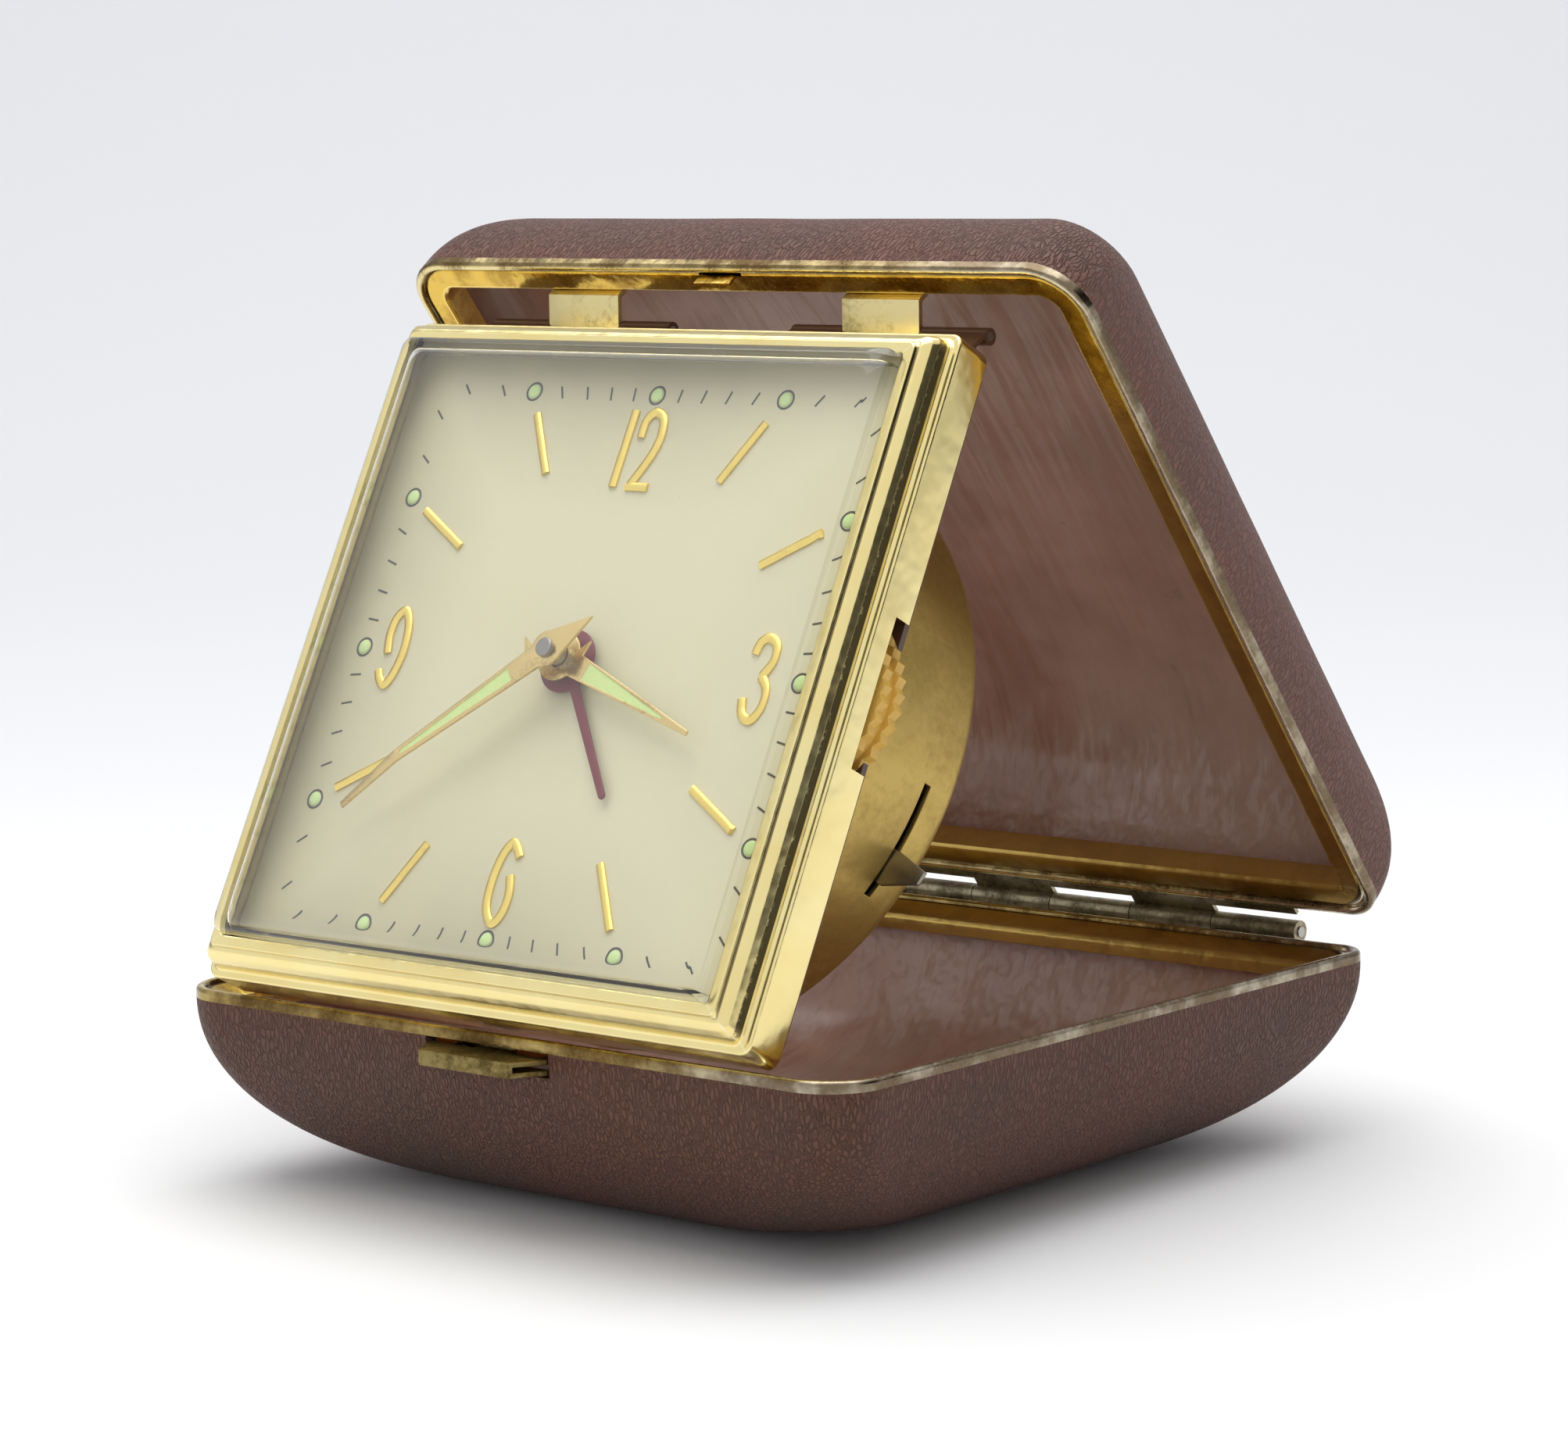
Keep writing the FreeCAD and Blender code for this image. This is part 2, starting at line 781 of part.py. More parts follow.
def make_clock_leaf():
    level = plate_back - leaf_sheet / 2
    barrel = clock_barrel_radius - leaf_sheet / 2
    path = [
        (leaf_foot, level), (leaf_bend, level),
        (pivot_above_centre, -pivot_behind_lip + barrel)]
    leaf = band(path, leaf_sheet, -leaf_outer, leaf_outer)
    pieces = [leaf]
    cuts = []
    for sign in (-1, 1):
        for inner, outer in (
                (leaf_inner, hanger_inner - knuckle_gap), (hanger_outer + knuckle_gap, leaf_outer)):
            x0, x1 = sorted((sign * inner, sign * outer))
            pieces.append(rod_x(
                x0, x1, pivot_above_centre, -pivot_behind_lip, clock_barrel_radius))
        x0, x1 = sorted((sign * (hanger_inner - knuckle_gap), sign * (hanger_outer + knuckle_gap)))
        cuts.append(box(
            x0, x1, leaf_bend - leaf_sheet, pivot_above_centre + clock_barrel_radius + overrun,
            -pivot_behind_lip - clock_barrel_radius - overrun, plate_back + overrun))
    cuts.append(box(
        -leaf_inner, leaf_inner, leaf_bend - leaf_sheet, pivot_above_centre + clock_barrel_radius + overrun,
        -pivot_behind_lip - clock_barrel_radius - overrun, plate_back + overrun))
    cuts.append(rod_x(
        -leaf_outer - overrun, leaf_outer + overrun, pivot_above_centre, -pivot_behind_lip,
        clock_pin_radius + bearing_gap))
    return joined(pieces).cut(Part.makeCompound(cuts))


parts["clock_hinge_leaf"] = in_clock(make_clock_leaf())


# Bezel and crystal

def clock_frame_wire(offset, level):
    radius = window_corner + bezel_corner_growth_share * max(offset, 0)
    return outline_wire(window_half_width + offset, window_half_height + offset, radius, radius, level)


def make_bezel():
    profile = [(bezel_width * across, -bezel_depth * down) for across, down in bezel_profile_share]
    frame = ring_from_profile(profile, clock_frame_wire)
    notch = box(
        window_half_width, window_half_width + bezel_width + overrun, notch_bottom, notch_top,
        -bezel_depth - overrun, -notch_depth)
    return frame.cut(notch)


def dome(inset, drop, foot):
    wires = []
    for inset_share, height_share in zip(crystal_inset_share, crystal_height_share):
        away = window_half_width * inset_share + inset
        level = crystal_crown * height_share - drop
        corner = window_corner + crystal_inner_corner * (away > inset + window_corner)
        wires.append(outline_wire(window_half_width - away, window_half_height - away, corner, corner, level))
    if foot > 0:
        first = outline_wire(
            window_half_width - window_half_width * crystal_inset_share[0] - inset,
            window_half_height - window_half_width * crystal_inset_share[0] - inset,
            window_corner, window_corner, -crystal_base - foot)
        wires[0] = first
    return Part.makeLoft(wires, True, True)


def make_crystal():
    flange_half_width = window_half_width + crystal_flange
    flange_half_height = window_half_height + crystal_flange
    flange = Part.Face(outline_wire(
        flange_half_width, flange_half_height, window_corner, window_corner, -crystal_base))
    flange = flange.extrude(V(0, 0, crystal_flange_thickness))
    return flange.fuse(dome(0, 0, 0)).cut(dome(crystal_wall, crystal_wall, overrun)).removeSplitter()


parts["bezel"] = in_clock(make_bezel())
parts["crystal"] = in_clock(make_crystal())


# Dial with raised numerals, batons and dots

def slab(half_u, half_v, back, front, radius):
    face = Part.Face(outline_wire(half_u, half_v, radius, radius, back))
    return face.extrude(V(0, 0, front - back))


def make_dial():
    back = dial_level - dial_thickness
    dial = slab(dial_half_width, dial_half_height, back, dial_level, dial_corner)
    feet = []
    for u in (-dial_foot_half_spread, dial_foot_half_spread):
        for v in (-dial_foot_half_spread, dial_foot_half_spread):
            feet.append(disc(u, v, -bezel_depth + fit_gap, back, dial_foot_radius))
    return joined([dial] + feet).cut(disc(0, 0, back - overrun, dial_level + overrun, dial_bore))


def ellipse_ring(u, v, half_u, half_v, stroke):
    """Upright oval ring of even stroke, as a flat face."""
    faces = []
    for shrink in (0, stroke):
        wide = half_u - shrink
        tall = half_v - shrink
        curve = Part.Ellipse(V(u, v + tall, 0), V(u + wide, v, 0), V(u, v, 0))
        faces.append(Part.Face(Part.Wire(curve.toShape())))
    return faces[0].cut(faces[1])


def flat_bar(u0, v0, u1, v1, width):
    length = math.hypot(u1 - u0, v1 - v0)
    across_u = (v1 - v0) / length * width / 2
    across_v = -(u1 - u0) / length * width / 2
    return polygon_face([
        V(u0 + across_u, v0 + across_v, 0), V(u1 + across_u, v1 + across_v, 0),
        V(u1 - across_u, v1 - across_v, 0), V(u0 - across_u, v0 - across_v, 0)])


def flat_box(u0, u1, v0, v1):
    return polygon_face([V(u0, v0, 0), V(u1, v0, 0), V(u1, v1, 0), V(u0, v1, 0)])


numeral_half = numeral_width / 2
numeral_rise = numeral_height / 2
stroke_half = numeral_stroke / 2


def digit_one():
    return flat_box(-stroke_half, stroke_half, -numeral_rise, numeral_rise)


def digit_two():
    bowl_half = numeral_height / 4
    bowl = ellipse_ring(0, numeral_rise - bowl_half, numeral_half, bowl_half, numeral_stroke)
    bowl = bowl.cut(flat_box(
        -numeral_width, numeral_half - numeral_stroke, -numeral_rise, numeral_rise - bowl_half))
    bowl = bowl.cut(flat_box(-numeral_width, numeral_width, -numeral_rise, bowl_half / 2))
    slope = flat_bar(
        numeral_half - stroke_half - stroke_half / 3, bowl_half / 2 + stroke_half / 2,
        stroke_half - numeral_half + stroke_half / 3, stroke_half - numeral_rise, numeral_stroke)
    foot = flat_box(-numeral_half, numeral_half, -numeral_rise, numeral_stroke - numeral_rise)
    return bowl.multiFuse([slope, foot])


def digit_three():
    bowl_half = numeral_height / 4 + numeral_stroke / 4
    bowls = []
    for sign in (-1, 1):
        centre = sign * (numeral_rise - bowl_half)
        ring = ellipse_ring(0, centre, numeral_half, bowl_half, numeral_stroke)
        low, high = sorted((0 - sign * numeral_stroke, centre + sign * stroke_half))
        bowls.append(ring.cut(flat_box(-numeral_width, 0, low, high)))
    return bowls[0].fuse(bowls[1])


def digit_six():
    ring = ellipse_ring(0, 0, numeral_half, numeral_rise, numeral_stroke)
    return ring.cut(flat_box(stroke_half / 2, numeral_width, stroke_half, numeral_rise / 2 + stroke_half / 3))


def digit_nine():
    turned = digit_six()
    turned.rotate(ORIGIN, Z_AXIS, half_turn)
    return turned


def raised(shape, u, v, height):
    solid = joined([face.extrude(V(0, 0, height)) for face in shape.Faces])
    solid.translate(V(u, v, dial_level))
    return solid


parts["dial"] = in_clock(make_dial())
parts["numerals"] = in_clock(Part.makeCompound([
    raised(digit_one(), -one_offset, twelve_place, marker_height),
    raised(digit_two(), two_offset, twelve_place, marker_height),
    raised(digit_three(), three_place, 0, marker_height),
    raised(digit_six(), 0, -six_place, marker_height),
    raised(digit_nine(), -nine_place, 0, marker_height)]))

batons = []
dots = []
for hour in range(hours):
    angle = quarter_turn - full_turn / hours * hour
    u, v = radial(1, angle)
    reach = min(
        dot_track_half_width / max(abs(u), bearing_gap),
        dot_track_half_height / max(abs(v), bearing_gap))
    dots.append(disc(u * reach, v * reach, dial_level, dial_level + dot_height, dot_radius))
    if hour % 3:
        bar = flat_bar(u * baton_start, v * baton_start, u * baton_end, v * baton_end, baton_width)
        batons.append(raised(bar, 0, 0, marker_height))
parts["hour_batons"] = in_clock(Part.makeCompound(batons))
parts["hour_dots"] = in_clock(Part.makeCompound(dots))


# Hands, drawn pointing to twelve and turned clockwise to their hour

def prism(points, back, front):
    return polygon_face([V(u, v, back) for u, v in points]).extrude(V(0, 0, front - back))


def turned_hand(shape, angle):
    turned = shape.copy()
    turned.rotate(ORIGIN, Z_AXIS, -angle)
    return in_clock(turned)


def taper(start, end, start_half, end_half):
    return [(-start_half, start), (start_half, start), (end_half, end), (-end_half, end)]


def make_minute_hand():
    back = minute_level - minute_droop - overrun
    front = minute_level + overrun
    blade = prism(taper(0, minute_length, minute_root_half, minute_tip_half), back, front)
    tail = prism([(-minute_eye, 0), (0, -minute_tail), (minute_eye, 0)], back, front)
    eye = disc(0, 0, back, front, minute_eye)
    nib = prism([(0, nib_place - nib_half), (nib_reach, nib_place), (0, nib_place + nib_half)], back, front)
    sheet_level = minute_level + minute_sheet / 2
    path = [
        (-minute_tail - overrun, sheet_level), (minute_bend, sheet_level),
        (minute_length + overrun, sheet_level - minute_droop)]
    sheet = band(path, minute_sheet, -minute_length, minute_length)
    slot_shape = taper(
        minute_slot_start, minute_slot_end, minute_slot_half, minute_slot_half * slot_taper_share)
    hand = joined([blade, tail, eye, nib]).common(sheet)
    hand = hand.cut(prism(slot_shape, back, front))
    hand = hand.cut(disc(0, 0, back, front, arbor_radius + pipe_gap))
    lume = prism(slot_shape, minute_level, minute_level + minute_sheet - lume_recess)
    return hand, lume


def make_hour_hand():
    front = hour_level + hour_sheet
    blade = prism(taper(0, hour_length, hour_root_half, hour_tip_half), hour_level, front)
    eye = disc(0, 0, hour_level, front, hour_eye)
    nib = prism(
        [(0, nib_place - nib_half), (-nib_reach, nib_place + nib_half), (0, nib_place + nib_half)],
        hour_level, front)
    slot_shape = taper(hour_root, hour_slot_end, hour_slot_half, hour_slot_half * slot_taper_share / 2)
    hand = joined([blade, eye, nib]).cut(prism(slot_shape, hour_level - overrun, front + overrun))
    hand = hand.cut(disc(0, 0, hour_level - overrun, front + overrun, cannon_outer + pipe_gap))
    lume = prism(slot_shape, hour_level, front - lume_recess)
    return hand, lume


def make_alarm_hand():
    front = alarm_level + alarm_sheet
    blade = prism(
        taper(0, alarm_length - alarm_tip_half, alarm_root_half, alarm_tip_half), alarm_level, front)
    tip = disc(0, alarm_length - alarm_tip_half, alarm_level, front, alarm_tip_half)
    ring = disc(0, 0, alarm_level, front, alarm_ring)
    bore = disc(0, 0, alarm_level - overrun, front + overrun, hour_pipe_outer + pipe_gap)
    return joined([blade, tip, ring]).cut(bore)


minute_hand, minute_lume = make_minute_hand()
parts["minute_hand"] = turned_hand(minute_hand, minute_angle)
parts["minute_hand_lume"] = turned_hand(minute_lume, minute_angle)
hour_hand, hour_lume = make_hour_hand()
parts["hour_hand"] = turned_hand(hour_hand, hour_angle)
parts["hour_hand_lume"] = turned_hand(hour_lume, hour_angle)
parts["alarm_hand"] = turned_hand(make_alarm_hand(), alarm_angle)


# Gears with thin straight-sided teeth

def gear(teeth, module, u, v, back, front, phase):
    """Gear with one tooth centred on the phase angle."""
    pitch_radius = teeth * module / 2
    tip = pitch_radius + addendum_share * module
    root = pitch_radius - dedendum_share * module
    pitch = full_turn / teeth
    half_root = pitch * tooth_share / 2 * root_share
    half_tip = pitch * tooth_share / 2 * tip_share
    points = []
    for index in range(teeth):
        middle = phase + pitch * index
        for radius, angle in (
                (root, middle - half_root), (tip, middle - half_tip),
                (tip, middle + half_tip), (root, middle + half_root)):
            du, dv = radial(radius, angle)
            points.append((u + du, v + dv))
    return prism(points, back, front)


def meshed(phase, teeth, direction, other_teeth):
    """Phase of a gear that meshes with another one lying in the given direction."""
    share = (phase - direction) / (full_turn / teeth)
    return direction + half_turn + (1 - 2 * share) * half_turn / other_teeth


def centre_distance(teeth, other_teeth, module):
    return (teeth + other_teeth) * module / 2


# Motion work
cannon_phase = 0.0
minute_u = centre_distance(cannon_teeth, minute_teeth, motion_module)
idler_u = minute_u + centre_distance(minute_teeth, idler_teeth, motion_module)
thumb_u = idler_u + centre_distance(idler_teeth, setting_teeth, motion_module)
minute_phase = meshed(cannon_phase, cannon_teeth, 0, minute_teeth)
idler_phase = meshed(minute_phase, minute_teeth, 0, idler_teeth)
thumb_phase = meshed(idler_phase, idler_teeth, 0, setting_teeth)
hour_phase = meshed(0, pinion_teeth, half_turn, hour_teeth)
alarm_distance = centre_distance(alarm_teeth, alarm_pinion_teeth, motion_module)
alarm_u, alarm_v = radial(alarm_distance, alarm_knob_direction)
alarm_knob_phase = meshed(0, alarm_teeth, alarm_knob_direction, alarm_pinion_teeth)

minute_top = minute_level + minute_sheet
cannon = joined([
    gear(cannon_teeth, motion_module, 0, 0, motion_back, motion_front, cannon_phase),
    disc(0, 0, motion_back - pinion_reach, minute_level, cannon_outer)])
cannon = cannon.cut(disc(0, 0, motion_back - overrun, minute_top, arbor_radius + bearing_gap))
parts["cannon_pinion"] = in_clock(cannon)

minute_wheel = joined([
    gear(minute_teeth, motion_module, minute_u, 0, motion_back, motion_front, minute_phase),
    gear(pinion_teeth, hour_module, minute_u, 0, motion_front, minute_pinion_front, 0)])
parts["minute_wheel"] = in_clock(minute_wheel.cut(disc(
    minute_u, 0, motion_back - overrun, alarm_gear_front, stud_radius + bearing_gap)))

hour_wheel = joined([
    gear(hour_teeth, hour_module, 0, 0, hour_gear_back, hour_gear_front, hour_phase),
    disc(0, 0, hour_gear_back, hour_level, hour_pipe_outer)])
parts["hour_wheel"] = in_clock(hour_wheel.cut(disc(
    0, 0, hour_gear_back - overrun, hour_level + overrun, cannon_outer + pipe_gap)))

alarm_wheel = joined([
    gear(alarm_teeth, motion_module, 0, 0, alarm_gear_back, alarm_gear_front, 0),
    disc(0, 0, alarm_gear_back, alarm_level, alarm_pipe_outer)])
parts["alarm_wheel"] = in_clock(alarm_wheel.cut(disc(
    0, 0, alarm_gear_back - overrun, alarm_level + overrun, hour_pipe_outer + pipe_gap)))

parts["setting_idler"] = in_clock(
    gear(idler_teeth, motion_module, idler_u, 0, motion_back, motion_front, idler_phase).cut(
        disc(idler_u, 0, motion_back - overrun, motion_front + overrun, stud_radius + bearing_gap)))


def ridged_disc(u, v, back, front, radius, ridges, ridge):
    points = []
    for index in range(ridges):
        for reach, shift in ((radius, 0), (radius - ridge, full_turn / ridges / 2)):
            du, dv = radial(reach, full_turn / ridges * index + shift)
            points.append((u + du, v + dv))
    return prism(points, back, front)


thumbwheel = joined([
    gear(setting_teeth, motion_module, thumb_u, 0, motion_back, motion_front, thumb_phase),
    disc(thumb_u, 0, thumb_front, motion_back, thumb_radius - thumb_groove - thumb_tooth),
    ridged_disc(thumb_u, 0, thumb_groove_front, thumb_front, thumb_radius, thumb_teeth, thumb_tooth),
    disc(thumb_u, 0, thumb_groove_back, thumb_groove_front, thumb_radius - thumb_groove),
    ridged_disc(thumb_u, 0, thumb_back, thumb_groove_back, thumb_radius, thumb_teeth, thumb_tooth)])
parts["thumbwheel"] = in_clock(thumbwheel.cut(disc(
    thumb_u, 0, thumb_back - overrun, motion_front + overrun, thumb_stud_radius + bearing_gap)))

# Going train places
barrel_u, barrel_v = radial(
    centre_distance(barrel_teeth, centre_pinion_teeth, barrel_module), barrel_direction)
third_u, third_v = radial(
    centre_distance(centre_wheel_teeth, third_pinion_teeth, centre_module), third_direction)
step_u, step_v = radial(
    centre_distance(third_wheel_teeth, fourth_pinion_teeth, third_module), fourth_direction)
fourth_u, fourth_v = third_u + step_u, third_v + step_v
step_u, step_v = radial(
    centre_distance(fourth_wheel_teeth, escape_pinion_teeth, fourth_module), escape_direction)
escape_u, escape_v = fourth_u + step_u, fourth_v + step_v
step_u, step_v = radial(pallet_distance, pallet_direction)
pallet_u, pallet_v = escape_u + step_u, escape_v + step_v
step_u, step_v = radial(
    centre_distance(alarm_barrel_teeth, alarm_escape_pinion_teeth, motion_module), alarm_escape_direction)
alarm_escape_u, alarm_escape_v = alarm_barrel_u + step_u, alarm_barrel_v + step_v
step_u, step_v = radial(striker_distance, striker_direction)
striker_u, striker_v = alarm_escape_u + step_u, alarm_escape_v + step_v
small_arbors = [
    (third_u, third_v), (fourth_u, fourth_v), (escape_u, escape_v), (pallet_u, pallet_v),
    (balance_u, balance_v), (alarm_escape_u, alarm_escape_v), (striker_u, striker_v)]
large_arbors = [(barrel_u, barrel_v), (alarm_barrel_u, alarm_barrel_v), (alarm_u, alarm_v)]


def small_arbor(u, v):
    """Arbor with a pivot in each plate."""
    body = disc(u, v, rear_plate_front + fit_gap, front_plate_back - fit_gap, arbor_body)
    pivots = disc(u, v, rear_plate_back + fit_gap, front_plate_front - fit_gap, pivot_radius)
    return [body, pivots]


def toothed_wheel(teeth, module, u, v, back, phase):
    return gear(teeth, module, u, v, back, back + wheel_sheet, phase)


def pinion(teeth, module, u, v, wheel_back, phase):
    return gear(
        teeth, module, u, v, wheel_back - pinion_front_margin,
        wheel_back + wheel_sheet + pinion_front_margin, phase)


centre_phase = 0.0
third_phase = meshed(centre_phase, centre_wheel_teeth, third_direction, third_pinion_teeth)
fourth_phase = meshed(0, third_wheel_teeth, fourth_direction, fourth_pinion_teeth)
escape_phase = meshed(0, fourth_wheel_teeth, escape_direction, escape_pinion_teeth)
barrel_phase = meshed(0, centre_pinion_teeth, barrel_direction, barrel_teeth)
alarm_escape_phase = meshed(
    0, alarm_barrel_teeth, alarm_escape_direction, alarm_escape_pinion_teeth)

nut_back = minute_top
parts["centre_wheel"] = in_clock(joined([
    toothed_wheel(centre_wheel_teeth, centre_module, 0, 0, centre_wheel_back, centre_phase),
    gear(
        centre_pinion_teeth, barrel_module, 0, 0, barrel_gear_back - pinion_front_margin,
        barrel_gear_front + pinion_front_margin, 0),
    disc(0, 0, rear_plate_front + fit_gap, nut_back + nut_height - fit_gap, arbor_radius),
    disc(0, 0, rear_plate_back + fit_gap, rear_plate_front + 2 * fit_gap, pivot_radius)]))
parts["third_wheel"] = in_clock(joined(small_arbor(third_u, third_v) + [
    toothed_wheel(third_wheel_teeth, third_module, third_u, third_v, third_wheel_back, 0),
    pinion(third_pinion_teeth, centre_module, third_u, third_v, centre_wheel_back, third_phase)]))
parts["fourth_wheel"] = in_clock(joined(small_arbor(fourth_u, fourth_v) + [
    toothed_wheel(fourth_wheel_teeth, fourth_module, fourth_u, fourth_v, fourth_wheel_back, 0),
    pinion(fourth_pinion_teeth, third_module, fourth_u, fourth_v, third_wheel_back, fourth_phase)]))


def saw_wheel(u, v, back, radius, hub):
    points = []
    for index in range(escape_teeth):
        start = full_turn / escape_teeth * index
        for reach, shift in ((hub, 0), (radius, full_turn / escape_teeth * tooth_share / 2)):
            du, dv = radial(reach, start + shift)
            points.append((u + du, v + dv))
    return prism(points, back, back + wheel_sheet)


parts["escape_wheel"] = in_clock(joined(small_arbor(escape_u, escape_v) + [
    saw_wheel(escape_u, escape_v, escape_wheel_back, escape_radius, escape_hub),
    pinion(escape_pinion_teeth, fourth_module, escape_u, escape_v, fourth_wheel_back, escape_phase)]))


def spiral(u, v, back, height, inner, pitch, half_turns, strip):
    """Flat spiral spring of half turns whose radius grows evenly."""
    outer_edges = []
    inner_edges = []
    radius = inner
    start = V(u - radius, v, back)
    side = 1
    centre = u
    for index in range(half_turns):
        for edges, shift in ((outer_edges, strip / 2), (inner_edges, -strip / 2)):
            reach = radius + shift
            first = V(centre - side * reach, v, back)
            middle = V(centre, v + side * reach, back)
            last = V(centre + side * reach, v, back)
            edges.append(Part.Arc(first, middle, last).toShape())
        centre = centre - side * pitch / 4
        radius = radius + pitch / 4
        side = -side
    first_cap = Part.makeLine(inner_edges[0].Vertexes[0].Point, outer_edges[0].Vertexes[0].Point)
    last_cap = Part.makeLine(outer_edges[-1].Vertexes[-1].Point, inner_edges[-1].Vertexes[-1].Point)
    wire = Part.Wire(Part.__sortEdges__(outer_edges + inner_edges + [first_cap, last_cap]))
    return Part.Face(wire).extrude(V(0, 0, height))


def make_barrel(u, v, gear_shape, drum_radius, drum_back):
    drum = disc(u, v, drum_back, barrel_gear_back, drum_radius)
    hollow = disc(u, v, drum_back - overrun, barrel_gear_back - barrel_wall, drum_radius - barrel_wall)
    bore = disc(u, v, drum_back - overrun, barrel_gear_front + overrun, winding_arbor + bearing_gap)
    return joined([gear_shape, drum]).cut(hollow).cut(bore)


parts["going_barrel"] = in_clock(make_barrel(
    barrel_u, barrel_v,
    gear(barrel_teeth, barrel_module, barrel_u, barrel_v, barrel_gear_back, barrel_gear_front, barrel_phase),
    barrel_drum_radius, barrel_drum_back))
parts["alarm_barrel"] = in_clock(make_barrel(
    alarm_barrel_u, alarm_barrel_v,
    gear(
        alarm_barrel_teeth, motion_module, alarm_barrel_u, alarm_barrel_v,
        barrel_gear_back, barrel_gear_front, 0),
    alarm_barrel_drum, alarm_barrel_back))
mainspring_back = barrel_gear_back - barrel_wall - fit_gap - mainspring_height
parts["going_mainspring"] = in_clock(spiral(
    barrel_u, barrel_v, mainspring_back, mainspring_height, mainspring_inner,
    mainspring_pitch, mainspring_half_turns, mainspring_strip))
parts["alarm_mainspring"] = in_clock(spiral(
    alarm_barrel_u, alarm_barrel_v, barrel_gear_back - barrel_wall - fit_gap - alarm_spring_height,
    alarm_spring_height, mainspring_inner - barrel_wall, mainspring_pitch, alarm_spring_half_turns,
    mainspring_strip))
parts["alarm_escape_wheel"] = in_clock(joined(small_arbor(alarm_escape_u, alarm_escape_v) + [
    saw_wheel(alarm_escape_u, alarm_escape_v, alarm_escape_back, alarm_escape_radius, escape_hub),
    gear(
        alarm_escape_pinion_teeth, motion_module, alarm_escape_u, alarm_escape_v,
        barrel_gear_back - pinion_front_margin, barrel_gear_front + pinion_front_margin,
        alarm_escape_phase)]))


def make_pallet_fork():
    span = escape_radius + pallet_clear
    toward = math.atan2(escape_v - pallet_v, escape_u - pallet_u)
    arms = []
    for sign in (-1, 1):
        swing = toward + sign * math.radians(quarter_turn / 2)
        tip = (
            pallet_u + span * math.cos(swing), pallet_v + span * math.sin(swing))
        arms.append(flat_bar(pallet_u, pallet_v, tip[0], tip[1], fork_half * 2))
    apart = math.hypot(balance_u - pallet_u, balance_v - pallet_v)
    share = 1 - (roller_radius + fork_gap) / apart
    end_u = pallet_u + share * (balance_u - pallet_u)
    end_v = pallet_v + share * (balance_v - pallet_v)
    arms.append(flat_bar(pallet_u, pallet_v, end_u, end_v, fork_half * 2))
    solids = []
    for arm in arms:
        arm.translate(V(0, 0, roller_back))
        solids.append(arm.extrude(V(0, 0, wheel_sheet)))
    return joined(small_arbor(pallet_u, pallet_v) + solids)


def make_balance():
    rim_ring = tube(
        balance_u, balance_v, balance_back, balance_front, balance_radius, balance_radius - balance_rim)
    spoke = box(
        balance_u - balance_radius + balance_rim / 2, balance_u + balance_radius - balance_rim / 2,
        balance_v - spoke_width / 2, balance_v + spoke_width / 2,
        balance_back, balance_front)
    roller = disc(balance_u, balance_v, roller_back, roller_front, roller_radius)
    return joined(small_arbor(balance_u, balance_v) + [rim_ring, spoke, roller])


parts["pallet_fork"] = in_clock(make_pallet_fork())
parts["balance_wheel"] = in_clock(make_balance())
parts["hairspring"] = in_clock(spiral(
    balance_u, balance_v, hairspring_front - hairspring_height, hairspring_height, hairspring_inner,
    hairspring_pitch, hairspring_half_turns, hairspring_strip))

head_u = striker_u + striker_reach
striker_arm = box(
    striker_u, head_u, striker_v - striker_half, striker_v + striker_half,
    striker_back, striker_back + striker_sheet)
parts["alarm_hammer"] = in_clock(joined(small_arbor(striker_u, striker_v) + [
    striker_arm, disc(head_u, striker_v, hammer_back, hammer_front, hammer_radius)]))


# Drum, plates, pillars and screws

def ring_places(radius, angles):
    return [radial(radius, angle) for angle in angles]


def drilled(plate_shape, back, front, holes):
    cutters = [disc(u, v, back - overrun, front + overrun, radius) for u, v, radius in holes]
    return plate_shape.cut(Part.makeCompound(cutters))


def rounded_behind(shape, back, radius):
    edges = [edge for edge in shape.Edges if abs(edge.BoundBox.ZMax - back) < fit_gap]
    return shape.makeFillet(radius, edges)


def make_drum():
    outer = rounded_behind(disc(0, 0, drum_back, plate_back, drum_radius), drum_back, drum_edge)
    inner_back = drum_back + drum_wall
    inner = disc(0, 0, inner_back, plate_back + overrun, drum_radius - drum_wall)
    inner = rounded_behind(inner, inner_back, drum_edge - drum_wall)
    mouth = disc(0, 0, drum_back - overrun, drum_back + overrun, drum_radius - drum_lip)
    slot_back = (lever_front + lever_back) / 2 - slot_half_height
    sector = Part.makeCylinder(
        drum_radius + overrun, slot_half_height * 2, V(0, 0, slot_back), Z_AXIS,
        slot_high_angle - slot_low_angle)
    sector.rotate(ORIGIN, Z_AXIS, slot_low_angle)
    thumb_room = thumb_radius + plate_thumb_gap
    notch_back = thumb_back - plate_thumb_gap
    notch = box(thumb_u, drum_radius + overrun, -thumb_room, thumb_room, notch_back, plate_back)
    return outer.cut(inner).cut(mouth).cut(sector).cut(notch)


parts["drum_case"] = in_clock(make_drum())

pillars = ring_places(pillar_circle, pillar_angles)
feet = ring_places(foot_circle, foot_angles)
cover_posts = ring_places(cover_screw_circle, cover_screw_angles)

